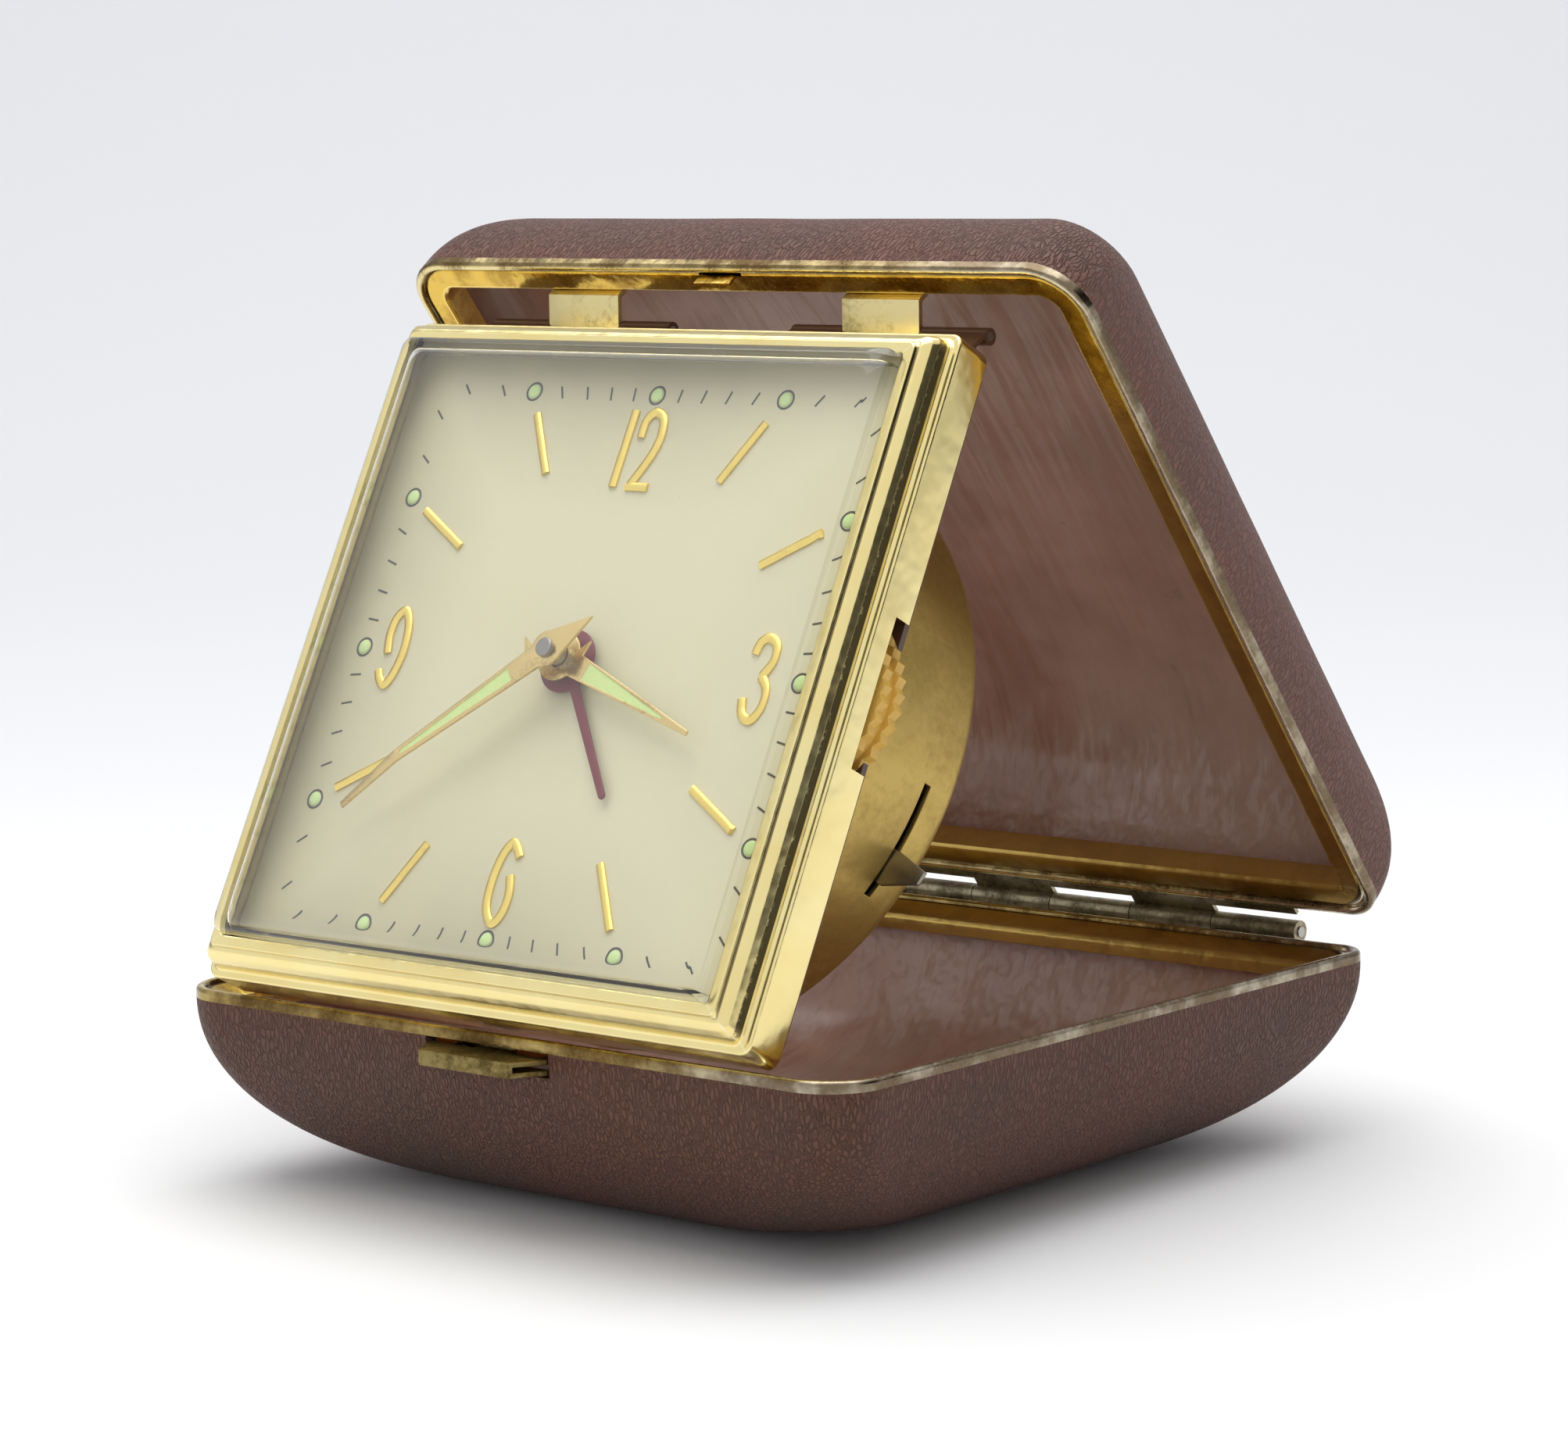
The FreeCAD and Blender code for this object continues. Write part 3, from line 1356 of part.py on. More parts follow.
mounting = slab(plate_half_width, plate_half_height, plate_back, -bezel_depth, plate_corner)
mounting = drilled(mounting, plate_back, -bezel_depth, [
    (thumb_u, 0, thumb_radius + plate_thumb_gap), (0, 0, plate_centre_hole),
    (alarm_u, alarm_v, winding_arbor)])
studs = [
    disc(minute_u, 0, plate_back, stud_front - fit_gap, stud_radius),
    disc(idler_u, 0, plate_back, motion_front, stud_radius)]
feet_shapes = [disc(u, v, front_plate_front, plate_back, foot_radius) for u, v in feet]
parts["mounting_plate"] = in_clock(joined([mounting] + studs + feet_shapes))

small_holes = [(u, v, pivot_radius + bearing_gap) for u, v in small_arbors]
large_holes = [(u, v, winding_arbor / 2 + bearing_gap) for u, v in large_arbors]
front_holes = small_holes + large_holes + [(0, 0, arbor_radius + bearing_gap)]
front_plate = drilled(
    disc(0, 0, front_plate_back, front_plate_front, front_plate_radius),
    front_plate_back, front_plate_front, front_holes)
thumb_stud = disc(thumb_u, 0, front_plate_front, motion_front, thumb_stud_radius)
parts["front_plate"] = in_clock(joined([front_plate, thumb_stud]))

key_arbors = [(barrel_u, barrel_v), (alarm_barrel_u, alarm_barrel_v)]
rear_holes = small_holes + [(0, 0, pivot_radius + bearing_gap)]
rear_holes += [(u, v, winding_arbor + bearing_gap) for u, v in key_arbors]
rear_holes += [(alarm_u, alarm_v, winding_arbor / 2 + bearing_gap)]
rear_plate = drilled(
    disc(0, 0, rear_plate_back, rear_plate_front, rear_plate_radius),
    rear_plate_back, rear_plate_front, rear_holes)
boss = tube(0, 0, lever_back - fit_gap, rear_plate_back, lever_boss, lever_boss - barrel_wall)
posts = [
    disc(u, v, cover_front, rear_plate_back, cover_post_radius) for u, v in cover_posts]
parts["rear_plate"] = in_clock(joined([rear_plate, boss] + posts))
parts["plate_pillars"] = in_clock(Part.makeCompound([
    disc(u, v, rear_plate_front, front_plate_back, pillar_radius) for u, v in pillars]))


def screw_head(u, v, front, back):
    head = disc(u, v, back, front, screw_head_radius)
    slot = box(
        u - screw_head_radius, u + screw_head_radius, v - screw_slot / 2, v + screw_slot / 2,
        back - overrun, back + screw_slot)
    return head.cut(slot)


parts["plate_screws"] = in_clock(Part.makeCompound([
    screw_head(u, v, rear_plate_back, rear_plate_back - screw_head_height) for u, v in pillars]))
cover_radius = drum_radius - drum_wall - fit_gap
cover_holes = [(u, v, winding_arbor + 2 * bearing_gap) for u, v in key_arbors]
cover_holes += [(alarm_u, alarm_v, winding_arbor / 2 + 2 * bearing_gap)]
parts["rear_cover"] = in_clock(drilled(
    disc(0, 0, cover_back, cover_front, cover_radius), cover_back, cover_front, cover_holes))
parts["cover_screws"] = in_clock(Part.makeCompound([
    screw_head(u, v, cover_back, cover_back - screw_head_height) for u, v in cover_posts]))


# Keys, knob and shut-off lever

def make_key(u, v, arbor_front):
    """Winding arbor with a folding key lying flat against the back."""
    arbor = disc(u, v, key_hub_back, arbor_front, winding_arbor)
    pivot = disc(u, v, arbor_front - fit_gap, front_plate_front - fit_gap, winding_arbor / 2)
    hub = disc(u, v, key_hub_back, key_front, key_hub_radius)
    wing = slab(key_half, key_length, key_back, key_back + key_sheet, key_half - bearing_gap)
    wing.translate(V(u, v, 0))
    neck = disc(u, v, key_back, key_hub_back, key_hub_radius / 2)
    return joined([arbor, pivot, hub, wing, neck])


parts["time_key"] = in_clock(make_key(barrel_u, barrel_v, front_plate_back - fit_gap))
parts["alarm_key"] = in_clock(make_key(alarm_barrel_u, alarm_barrel_v, front_plate_back - fit_gap))
alarm_arbor = disc(alarm_u, alarm_v, knob_front, alarm_gear_front, winding_arbor / 2)
parts["alarm_set_knob"] = in_clock(joined([
    alarm_arbor,
    gear(
        alarm_pinion_teeth, motion_module, alarm_u, alarm_v, alarm_gear_back, alarm_gear_front,
        alarm_knob_phase),
    ridged_disc(alarm_u, alarm_v, knob_back, knob_front, knob_radius, knob_ridges, knob_ridge)]))


def make_lever():
    ring = tube(0, 0, lever_back, lever_front, lever_ring, lever_boss + bearing_gap)
    wall = drum_radius + drum_wall
    root = lever_boss + bearing_gap * 2
    blade = prism([
        (root, -lever_half), (wall, -lever_half), (lever_reach, lever_tip - lever_half / 4),
        (lever_reach, lever_tip + lever_half / 2), (wall, lever_half), (root, lever_half)],
        lever_back, lever_front)
    lever = joined([ring, blade]).cut(
        disc(0, 0, lever_back - overrun, lever_front + overrun, lever_boss + bearing_gap))
    lever.rotate(ORIGIN, Z_AXIS, lever_start_angle)
    return lever


parts["shutoff_lever"] = in_clock(make_lever())
nut = disc(0, 0, nut_back, nut_back + nut_height, nut_radius)
nut = nut.makeFillet(nut_crown, [nut.Edges[0]])
parts["centre_nut"] = in_clock(nut.cut(
    disc(0, 0, nut_back - overrun, nut_back + nut_height - fit_gap, arbor_radius + bearing_gap)))

os.makedirs("parts", exist_ok=True)
for name, shape in parts.items():
    print(name, len(shape.Solids), round(shape.Volume, 3), shape.isValid())
    shape.exportStep("parts/" + name + ".step")
print("clock pivot", round(pivot_y, 4), round(pivot_z, 4))
print("clock centre", round(clock_y, 4), round(clock_z, 4))
print("lid open", round(open_angle, 4), "clock tilt", round(clock_tilt, 4))
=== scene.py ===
import bpy, bmesh, json, math
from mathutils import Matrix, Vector, noise


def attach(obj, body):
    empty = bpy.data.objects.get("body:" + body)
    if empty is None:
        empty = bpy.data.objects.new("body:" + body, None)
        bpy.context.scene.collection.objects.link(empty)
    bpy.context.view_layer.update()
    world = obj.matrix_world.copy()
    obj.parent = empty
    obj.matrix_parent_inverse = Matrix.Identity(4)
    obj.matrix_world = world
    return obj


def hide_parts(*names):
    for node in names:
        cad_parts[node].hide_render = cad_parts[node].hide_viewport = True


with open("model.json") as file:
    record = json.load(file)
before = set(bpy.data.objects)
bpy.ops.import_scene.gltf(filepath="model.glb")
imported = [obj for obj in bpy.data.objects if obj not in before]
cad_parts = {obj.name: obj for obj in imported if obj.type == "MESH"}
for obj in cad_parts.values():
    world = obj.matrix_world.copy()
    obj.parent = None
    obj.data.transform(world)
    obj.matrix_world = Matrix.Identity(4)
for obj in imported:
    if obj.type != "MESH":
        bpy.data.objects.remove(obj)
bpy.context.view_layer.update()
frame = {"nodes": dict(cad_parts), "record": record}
nodes = frame["nodes"]
mm = 0.001
print("stage: frame loaded")


# A shader socket that takes part in plain arithmetic

class Link:
    def __init__(self, finish, socket):
        self.finish = finish
        self.socket = socket

    def maths(self, operation, *values):
        return self.finish.node("ShaderNodeMath", {"operation": operation}, dict(enumerate(values)))

    def __add__(self, other):
        return self.maths("ADD", self, other)

    def __radd__(self, other):
        return self.maths("ADD", other, self)

    def __sub__(self, other):
        return self.maths("SUBTRACT", self, other)

    def __rsub__(self, other):
        return self.maths("SUBTRACT", other, self)

    def __mul__(self, other):
        return self.maths("MULTIPLY", self, other)

    def __rmul__(self, other):
        return self.maths("MULTIPLY", other, self)

    def __pow__(self, other):
        return self.maths("POWER", self, other)

    def __rpow__(self, other):
        return self.maths("POWER", other, self)

    def atLeast(self, other):
        return self.maths("MAXIMUM", self, other)

    def atMost(self, other):
        return self.maths("MINIMUM", self, other)

    def size(self):
        return self.maths("ABSOLUTE", self)


class Finish:
    def __init__(self, name, **constants):
        self.material = bpy.data.materials.new(name)
        self.material.use_nodes = True
        self.tree = self.material.node_tree
        self.shader = self.tree.nodes["Principled BSDF"]
        self.output = self.tree.nodes["Material Output"]
        self.set(**constants)

    def set(self, **values):
        for key, value in values.items():
            label = "".join(" " + letter if letter.isupper() else letter for letter in key).strip().title()
            self.give(self.shader.inputs[label.replace("Ior", "IOR")], value)

    def give(self, target, value):
        if isinstance(value, Link):
            self.tree.links.new(value.socket, target)
        elif isinstance(value, (tuple, list)) and len(value) == 3 and target.type == "RGBA":
            target.default_value = (*value, 1)
        else:
            target.default_value = value

    def node(self, kind, settings=None, sockets=None, result=0):
        made = self.tree.nodes.new(kind)
        for key, value in (settings or {}).items():
            if key == "stops":
                ramp = made.color_ramp.elements
                while len(ramp) < len(value):
                    ramp.new(0.5)
                for element, (place, colour) in zip(ramp, value):
                    element.position = place
                    element.color = (*colour, 1)
            else:
                setattr(made, key, value)
        for key, value in (sockets or {}).items():
            self.give(made.inputs[key], value)
        return Link(self, made.outputs[result])

    def place(self, turn=0.0, centre=(0, 0, 0)):
        # object coordinates in millimetres, turned about X into a leaning piece's own frame
        here = self.node("ShaderNodeTexCoord", result="Object")
        scaled = self.node("ShaderNodeVectorMath", {"operation": "SCALE"}, {0: here, "Scale": 1000})
        moved = self.node("ShaderNodeVectorMath", {"operation": "SUBTRACT"}, {0: scaled, 1: centre})
        return self.node(
            "ShaderNodeVectorRotate", {"rotation_type": "X_AXIS"}, {"Vector": moved, "Angle": turn})

    def stretched(self, vector, stretch):
        return self.node("ShaderNodeVectorMath", {"operation": "MULTIPLY"}, {0: vector, 1: stretch})

    def shaken(self, vector, scale, reach):
        # the same places, moved about a little by a soft noise
        cloud = self.node(
            "ShaderNodeTexNoise", None, {"Vector": vector, "Scale": scale, "Detail": 2}, "Color")
        pushed = self.node("ShaderNodeVectorMath", {"operation": "SCALE"}, {0: cloud, "Scale": reach})
        return self.node("ShaderNodeVectorMath", {"operation": "ADD"}, {0: vector, 1: pushed})

    def part(self, vector, axis):
        return self.node("ShaderNodeSeparateXYZ", None, {0: vector}, axis)

    def noise(self, vector, scale, detail=3.0, rough=0.5):
        return self.node("ShaderNodeTexNoise", None, {
            "Vector": vector, "Scale": scale, "Detail": detail, "Roughness": rough})

    def cells(self, vector, scale, feature="F1"):
        return self.node(
            "ShaderNodeTexVoronoi", {"feature": feature}, {"Vector": vector, "Scale": scale}, "Distance")

    def ease(self, value, low, high, start=0.0, end=1.0):
        return self.node("ShaderNodeMapRange", {"interpolation_type": "SMOOTHSTEP"}, {
            "Value": value, 1: low, 2: high, 3: start, 4: end})

    def mix(self, share, first, second, blend="MIX"):
        return self.node("ShaderNodeMix", {"data_type": "RGBA", "blend_type": blend}, {
            0: share, 6: first, 7: second}, 2)

    def relief(self, height, strength, distance, under=None):
        sockets = {"Height": height, "Strength": strength, "Distance": distance * mm}
        if under is not None:
            sockets["Normal"] = under
        return self.node("ShaderNodeBump", None, sockets)


def paint(red, green, blue):
    # a screen colour as the shaders take it
    return tuple((value / 255) ** 2.2 for value in (red, green, blue))


# Frames of the case and the clock, the same as the solids have, in millimetres

case = {
    "size": 76.0, "frontCorner": 5.0, "rearCorner": 3.4, "mateLevel": 17.4, "hingeY": 40.93,
    "openAngle": 52.0302, "coverThickness": 0.7, "beadHeight": 1.0, "leastCorner": 0.3}
baseHalf = {"side": -1, "depth": 16.4, "inset": 17.7, "fullness": 2.06, "growth": 0.58}
lidHalf = {"side": 1, "depth": 14.7, "inset": 20.6, "fullness": 2.43, "growth": 0.45}
clock = {"tilt": 62.6295, "centreY": -28.9607, "centreZ": 48.3541}


def turnedAboutX(y, z, degrees):
    angle = math.radians(degrees)
    return y * math.cos(angle) - z * math.sin(angle), y * math.sin(angle) + z * math.cos(angle)


def basePlace(x, y, z):
    return Vector((x, y, z)) * mm


def lidPlace(x, y, z):
    across, up = turnedAboutX(y - case["hingeY"], z - case["mateLevel"], -case["openAngle"])
    return Vector((x, across + case["hingeY"], up + case["mateLevel"])) * mm


def clockPlace(x, y, z):
    # x and y lie on the bezel's front, z stands out of it
    across, up = turnedAboutX(y, z, clock["tilt"])
    return Vector((x, across + clock["centreY"], up + clock["centreZ"])) * mm


def lidGrain(finish):
    return finish.place(math.radians(case["openAngle"]), (0, case["hingeY"], case["mateLevel"]))


def clockGrain(finish):
    return finish.place(-math.radians(clock["tilt"]), (0, clock["centreY"], clock["centreZ"]))


def depthIn(made, here, half):
    # how far a point lies below the mouth of its half
    mouth = 0 if half is lidHalf else case["mateLevel"]
    return (made.part(here, 2) - mouth) * half["side"]


# Mesh helpers

def outline(halfX, halfY, frontRadius, rearRadius, cornerSteps=10, sideSteps=1):
    corners = [
        (halfX, -halfY, frontRadius, 1, -1, -90), (halfX, halfY, rearRadius, 1, 1, 0),
        (-halfX, halfY, rearRadius, -1, 1, 90), (-halfX, -halfY, frontRadius, -1, -1, 180)]
    arcs = []
    for x, y, radius, signX, signY, start in corners:
        middleX, middleY = x - signX * radius, y - signY * radius
        angles = [math.radians(start + 90 * step / cornerSteps) for step in range(cornerSteps + 1)]
        arcs.append([
            (middleX + radius * math.cos(angle), middleY + radius * math.sin(angle)) for angle in angles])
    points = []
    for index, arc in enumerate(arcs):
        points += arc
        (fromX, fromY), (toX, toY) = arc[-1], arcs[(index + 1) % len(arcs)][0]
        for step in range(1, sideSteps):
            share = step / sideSteps
            points.append((fromX + (toX - fromX) * share, fromY + (toY - fromY) * share))
    return points


def softened(points, reach, steps=3, closed=True):
    # rounds each corner of a section by a small curve
    soft = []
    count = len(points)
    for index, point in enumerate(points):
        here = Vector(point)
        if not closed and index in (0, count - 1):
            soft.append(tuple(here))
            continue
        before, after = Vector(points[index - 1]), Vector(points[(index + 1) % count])
        start = here + (before - here).normalized() * min(reach, (before - here).length * 0.45)
        end = here + (after - here).normalized() * min(reach, (after - here).length * 0.45)
        for step in range(steps + 1):
            share = step / steps
            soft.append(tuple(start.lerp(here, share).lerp(here.lerp(end, share), share)))
    return soft


def smoothLine(points, steps):
    # a curve through the points
    line = []
    for index in range(len(points) - 1):
        before = Vector(points[max(index - 1, 0)])
        start, end = Vector(points[index]), Vector(points[index + 1])
        after = Vector(points[min(index + 2, len(points) - 1)])
        for step in range(steps):
            share = step / steps
            line.append(0.5 * (
                2 * start + (end - before) * share
                + (2 * before - 5 * start + 4 * end - after) * share * share
                + (3 * start - before - 3 * end + after) * share * share * share))
    line.append(Vector(points[-1]))
    return line


def placed(name, data):
    # a new object in the scene
    item = bpy.data.objects.new(name, data)
    bpy.context.scene.collection.objects.link(item)
    return item


def meshPiece(name, points, faces, body, finish, replaced=(), smooth=40):
    mesh = bpy.data.meshes.new(name)
    mesh.from_pydata([tuple(point) for point in points], [], faces)
    shape = bmesh.new()
    shape.from_mesh(mesh)
    bmesh.ops.remove_doubles(shape, verts=shape.verts, dist=1e-7)
    bmesh.ops.recalc_face_normals(shape, faces=shape.faces)
    shape.to_mesh(mesh)
    shape.free()
    piece = placed(name, mesh)
    settle(piece, smooth)
    joined(piece, body, finish, replaced)
    return piece


def joined(piece, body, finish, replaced):
    # ties a piece to its body and to the nodes that it stands for
    piece.data.materials.append(finish.material)
    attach(piece, body)
    if replaced:
        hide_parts(*replaced)


def settle(piece, smooth):
    mesh = piece.data
    mesh.polygons.foreach_set("use_smooth", [True] * len(mesh.polygons))
    mesh.set_sharp_from_angle(angle=math.radians(smooth))


def applied(piece):
    # bakes the modifiers into the mesh
    bpy.context.view_layer.update()
    ready = piece.evaluated_get(bpy.context.evaluated_depsgraph_get())
    mesh = bpy.data.meshes.new_from_object(ready)
    piece.modifiers.clear()
    old = piece.data
    piece.data = mesh
    bpy.data.meshes.remove(old)


def cutAway(piece, place, low, high, smooth=40):
    # takes a box out of a piece
    spans = list(zip(low, high))
    corners = [place(x, y, z) for x in spans[0] for y in spans[1] for z in spans[2]]
    mesh = bpy.data.meshes.new("cutter")
    mesh.from_pydata([tuple(corner) for corner in corners], [], [
        (0, 1, 3, 2), (4, 6, 7, 5), (0, 4, 5, 1), (2, 3, 7, 6), (0, 2, 6, 4), (1, 5, 7, 3)])
    cutter = placed("cutter", mesh)
    step = piece.modifiers.new("cut", "BOOLEAN")
    step.operation = "DIFFERENCE"
    step.solver = "EXACT"
    step.object = cutter
    applied(piece)
    bpy.data.objects.remove(cutter)
    bpy.data.meshes.remove(mesh)
    settle(piece, smooth)


def ringStack(rings, closedEnds):
    # faces between rings of equal length; the ends are closed by a fan or left open
    points = [point for ring in rings for point in ring]
    size = len(rings[0])
    faces = []
    for level in range(len(rings) - 1):
        low, high = level * size, (level + 1) * size
        for index in range(size):
            after = (index + 1) % size
            faces.append((low + index, low + after, high + after, high + index))
    for closed, end in zip(closedEnds, (0, len(rings) - 1)):
        if closed:
            middle = len(points)
            points.append(sum((Vector(point) for point in rings[end]), Vector()) / size)
            for index in range(size):
                faces.append((end * size + index, end * size + (index + 1) % size, middle))
    return points, faces


def frameRing(name, section, wireAt, place, body, finish, replaced, smooth=40):
    # closed frame: a section of (offset, level) carried round an outline
    rings = [[place(x, y, level) for x, y in wireAt(offset)] for offset, level in section]
    points, faces = ringStack(rings + [rings[0]], (False, False))
    return meshPiece(name, points, faces, body, finish, replaced, smooth)


def bevelled(name, node, body, finish, width, steps=2, angle=35, smooth=40):
    # a copy of a small solid with softened edges
    mesh = nodes[node].data.copy()
    mesh.materials.clear()
    shape = bmesh.new()
    shape.from_mesh(mesh)
    bmesh.ops.remove_doubles(shape, verts=shape.verts, dist=1e-7)
    bmesh.ops.dissolve_limit(
        shape, angle_limit=math.radians(1), use_dissolve_boundaries=False, verts=shape.verts,
        edges=shape.edges)
    shape.to_mesh(mesh)
    shape.free()
    piece = placed(name, mesh)
    step = piece.modifiers.new("edges", "BEVEL")
    step.width = width * mm
    step.segments = steps
    step.limit_method = "ANGLE"
    step.angle_limit = math.radians(angle)
    step.use_clamp_overlap = True
    applied(piece)
    settle(piece, smooth)
    joined(piece, body, finish, (node,))


# Leatherette covers

# painted shade and painted light: one leatherette in two copies, the base's tones darker as a shaded copy and
# the lid's lighter as a lit copy
leather = {
    "base": {"colour": paint(91, 63, 49), "red": paint(103, 64, 49), "deep": paint(54, 36, 28)},
    "lid": {"colour": paint(108, 78, 66), "red": paint(120, 78, 66), "deep": paint(68, 46, 38)},
    "wear": paint(156, 116, 98), "wrinkle": (2.5, 2.5, 0.72), "waviness": 0.75, "creaseWidth": 0.22,
    "pores": 5.5, "relief": 0.3, "roughness": 0.5, "redPatches": 0.06, "redRange": (0.35, 0.65),
    "redEdge": (1.0, 4.0), "scuffs": 0.45, "scuffRange": (0.63, 0.75)}


def leatherFinish(name, grain, half, tones):
    made = Finish(name, specularIorLevel=0.42)
    here = grain(made)
    loose = made.shaken(here, 0.7, leather["waviness"])
    folds = made.cells(made.stretched(loose, leather["wrinkle"]), 1.0, "DISTANCE_TO_EDGE")
    crease = made.ease(folds, 0.0, leather["creaseWidth"])
    pores = made.noise(here, leather["pores"], 3)
    patches = made.noise(here, leather["redPatches"], 3)
    depth = depthIn(made, here, half)
    edge = made.ease(depth, *leather["redEdge"], 1.0, 0.0)
    tone = made.mix(made.ease(patches, *leather["redRange"]), tones["colour"], tones["red"])
    tone = made.mix(edge * 0.75, tone, tones["red"])
    scuff = made.ease(made.noise(here, leather["scuffs"], 5, 0.65), *leather["scuffRange"]) * edge
    tone = made.mix(scuff * 0.5, tone, leather["wear"])
    # painted shade: the creases are darkened with the deep tone
    tone = made.mix((1 - crease) * 0.3, tone, tones["deep"])
    height = crease * 0.8 + pores * 0.35
    made.set(
        baseColor=tone, roughness=leather["roughness"] + pores * 0.14 - crease * 0.06,
        normal=made.relief(height, 0.9, leather["relief"]))
    return made


coverShape = {
    "levels": 40, "cornerSteps": 12, "sideSteps": 26, "flatRings": 7, "firmRings": 4, "swells": 0.11,
    "softness": 0.06}


def pillowRings(half, shrink, place, ripple):
    # rings from the mouth of a padded half down over its wall and across its flat
    depth = half["depth"] - shrink
    rings = []
    levels = [90 * step / coverShape["levels"] for step in range(coverShape["levels"] + 1)]
    for angle in levels:
        turn = math.radians(angle)
        inward = half["inset"] * (1 - max(math.cos(turn), 0) ** (2 / half["fullness"]))
        down = depth * math.sin(turn) ** (2 / half["fullness"])
        side = case["size"] / 2 - shrink - inward
        grow = half["growth"] * inward - shrink
        z = case["mateLevel"] + half["side"] * (case["beadHeight"] + down)
        wire = outline(
            side, side, case["frontCorner"] + grow, case["rearCorner"] + grow, coverShape["cornerSteps"],
            coverShape["sideSteps"])
        rings.append([(x, y, z) for x, y in wire])
    last = rings[-1]
    for step in range(1, coverShape["flatRings"]):
        share = 1 - step / coverShape["flatRings"]
        rings.append([(x * share, y * share, z) for x, y, z in last])
    soft = []
    for index, ring in enumerate(rings):
        row = []
        hold = min(index / coverShape["firmRings"], 1)
        for x, y, z in ring:
            swell = noise.noise(Vector((x, y, z)) * coverShape["swells"]) * ripple * hold
            reach = math.hypot(x, y) or 1
            row.append(place(x + x / reach * swell, y + y / reach * swell, z))
        soft.append(row)
    return soft


def wallPiece(name, front, back, body, node, finish):
    # a thin wall between two sets of rings, open at the mouth
    points, faces = ringStack(front, (False, True))
    morePoints, moreFaces = ringStack(back, (False, True))
    shift, size = len(points), len(front[0])
    faces += [tuple(index + shift for index in face) for face in moreFaces]
    faces += [(index, (index + 1) % size, shift + (index + 1) % size, shift + index) for index in range(size)]
    return meshPiece(name, points + morePoints, faces, body, finish, (node,), smooth=60)


def coverPiece(name, half, place, body, node, finish):
    outside = pillowRings(half, 0, place, coverShape["softness"])
    inside = pillowRings(half, case["coverThickness"], place, 0)
    return wallPiece(name, outside, inside, body, node, finish)


baseLeather = leatherFinish("baseLeatherette", Finish.place, baseHalf, leather["base"])
lidLeather = leatherFinish("lidLeatherette", lidGrain, lidHalf, leather["lid"])
baseCover = coverPiece("baseCoverSkin", baseHalf, basePlace, "base", "base_cover", baseLeather)
coverPiece("lidCoverSkin", lidHalf, lidPlace, "lid", "lid_cover", lidLeather)
latchWindow = {"half": 7.0, "bottom": 3.1, "inner": 2.85, "above": 2.0}
windowLow = (-latchWindow["half"], -case["size"], case["mateLevel"] - latchWindow["bottom"])
windowHigh = (
    latchWindow["half"], latchWindow["inner"] - case["size"] / 2, case["mateLevel"] + latchWindow["above"])
cutAway(baseCover, basePlace, windowLow, windowHigh, smooth=60)
print("stage: leatherette covers")


# Lining cloth

# painted light: one lining cloth in two copies, the base's tones lighter to make up for the shade inside the
# base
cloth = {
    "base": {"colour": paint(192, 146, 128), "light": paint(214, 170, 152), "stain": paint(136, 100, 84)},
    "lid": {"colour": paint(166, 124, 106), "light": paint(188, 146, 128), "stain": paint(112, 80, 66)},
    "cord": 0.36, "waveRatio": 0.314, "waver": 0.35, "weft": (1, 0.18, 1), "pucker": (0.35, 0.05, 0.35),
    "paleRange": (0.4, 0.68), "grimeRange": (0.62, 0.74), "film": paint(206, 190, 182),
    "sheenPatchRange": (0.46, 0.56), "sheenRear": (-36, -8), "roughness": 0.4, "offset": 1.34, "thickness": 0.34,
    "firstRing": 2, "softness": 0.05}


def clothFinish(name, grain, tones):
    made = Finish(name, specularIorLevel=0.5, coatWeight=0.5, coatRoughness=0.16)
    here = grain(made)
    wave = made.node("ShaderNodeTexWave", {"bands_direction": "X", "wave_profile": "SIN"}, {
        "Vector": made.shaken(here, cloth["waver"], cloth["waver"]),
        "Scale": cloth["waveRatio"] / cloth["cord"], "Distortion": 0.15, "Detail": 1}, "Fac")
    weft = made.noise(made.stretched(here, cloth["weft"]), 4.0, 2)
    patches = made.noise(here, 0.07, 4, 0.6)
    tone = made.mix(made.ease(patches, *cloth["paleRange"]), tones["colour"], tones["light"])
    grime = made.ease(made.noise(here, 0.16, 5, 0.7), *cloth["grimeRange"])
    tone = made.mix(grime * 0.55, tone, tones["stain"])
    tone = made.mix(wave * 0.22, tone, tones["light"])
    # painted sheen: pale patches stand in for the lining's glossy highlights; the same mask also lowers the
    # roughness there
    rearward = made.ease(made.part(here, 1), *cloth["sheenRear"], 0.35, 1.0)
    film = made.ease(made.noise(here, 0.045, 3), *cloth["sheenPatchRange"]) * rearward
    tone = made.mix(film * 0.3, tone, cloth["film"])
    pucker = made.noise(made.stretched(here, cloth["pucker"]), 1.0, 2)
    height = wave * 0.25 + weft * 0.12
    smooth = made.relief(pucker, 0.6, 2.0)
    made.set(
        baseColor=tone, roughness=cloth["roughness"] + weft * 0.12 + grime * 0.1 - film * 0.12,
        normal=made.relief(height, 0.45, 0.07, smooth))
    return made


def liningPiece(name, half, place, body, node, finish):
    inside = pillowRings(half, cloth["offset"] + cloth["thickness"], place, cloth["softness"])
    outside = pillowRings(half, cloth["offset"], place, 0)
    first = cloth["firstRing"]
    wallPiece(name, inside[first:], outside[first:], body, node, finish)


liningPiece(
    "baseLiningCloth", baseHalf, basePlace, "base", "base_lining",
    clothFinish("baseCloth", Finish.place, cloth["base"]))
liningPiece(
    "lidLiningCloth", lidHalf, lidPlace, "lid", "lid_lining", clothFinish("lidCloth", lidGrain, cloth["lid"]))
print("stage: linings")


# Metal finishes

metalUsual = {
    "patchScale": 0.12, "speckScale": 2.2, "brush": (6.0, 0.25, 6.0), "tarnishRange": (0.55, 0.72),
    "tarnishShare": 0.6, "lineRough": 0.05, "relief": 0.12, "swell": 0.12}


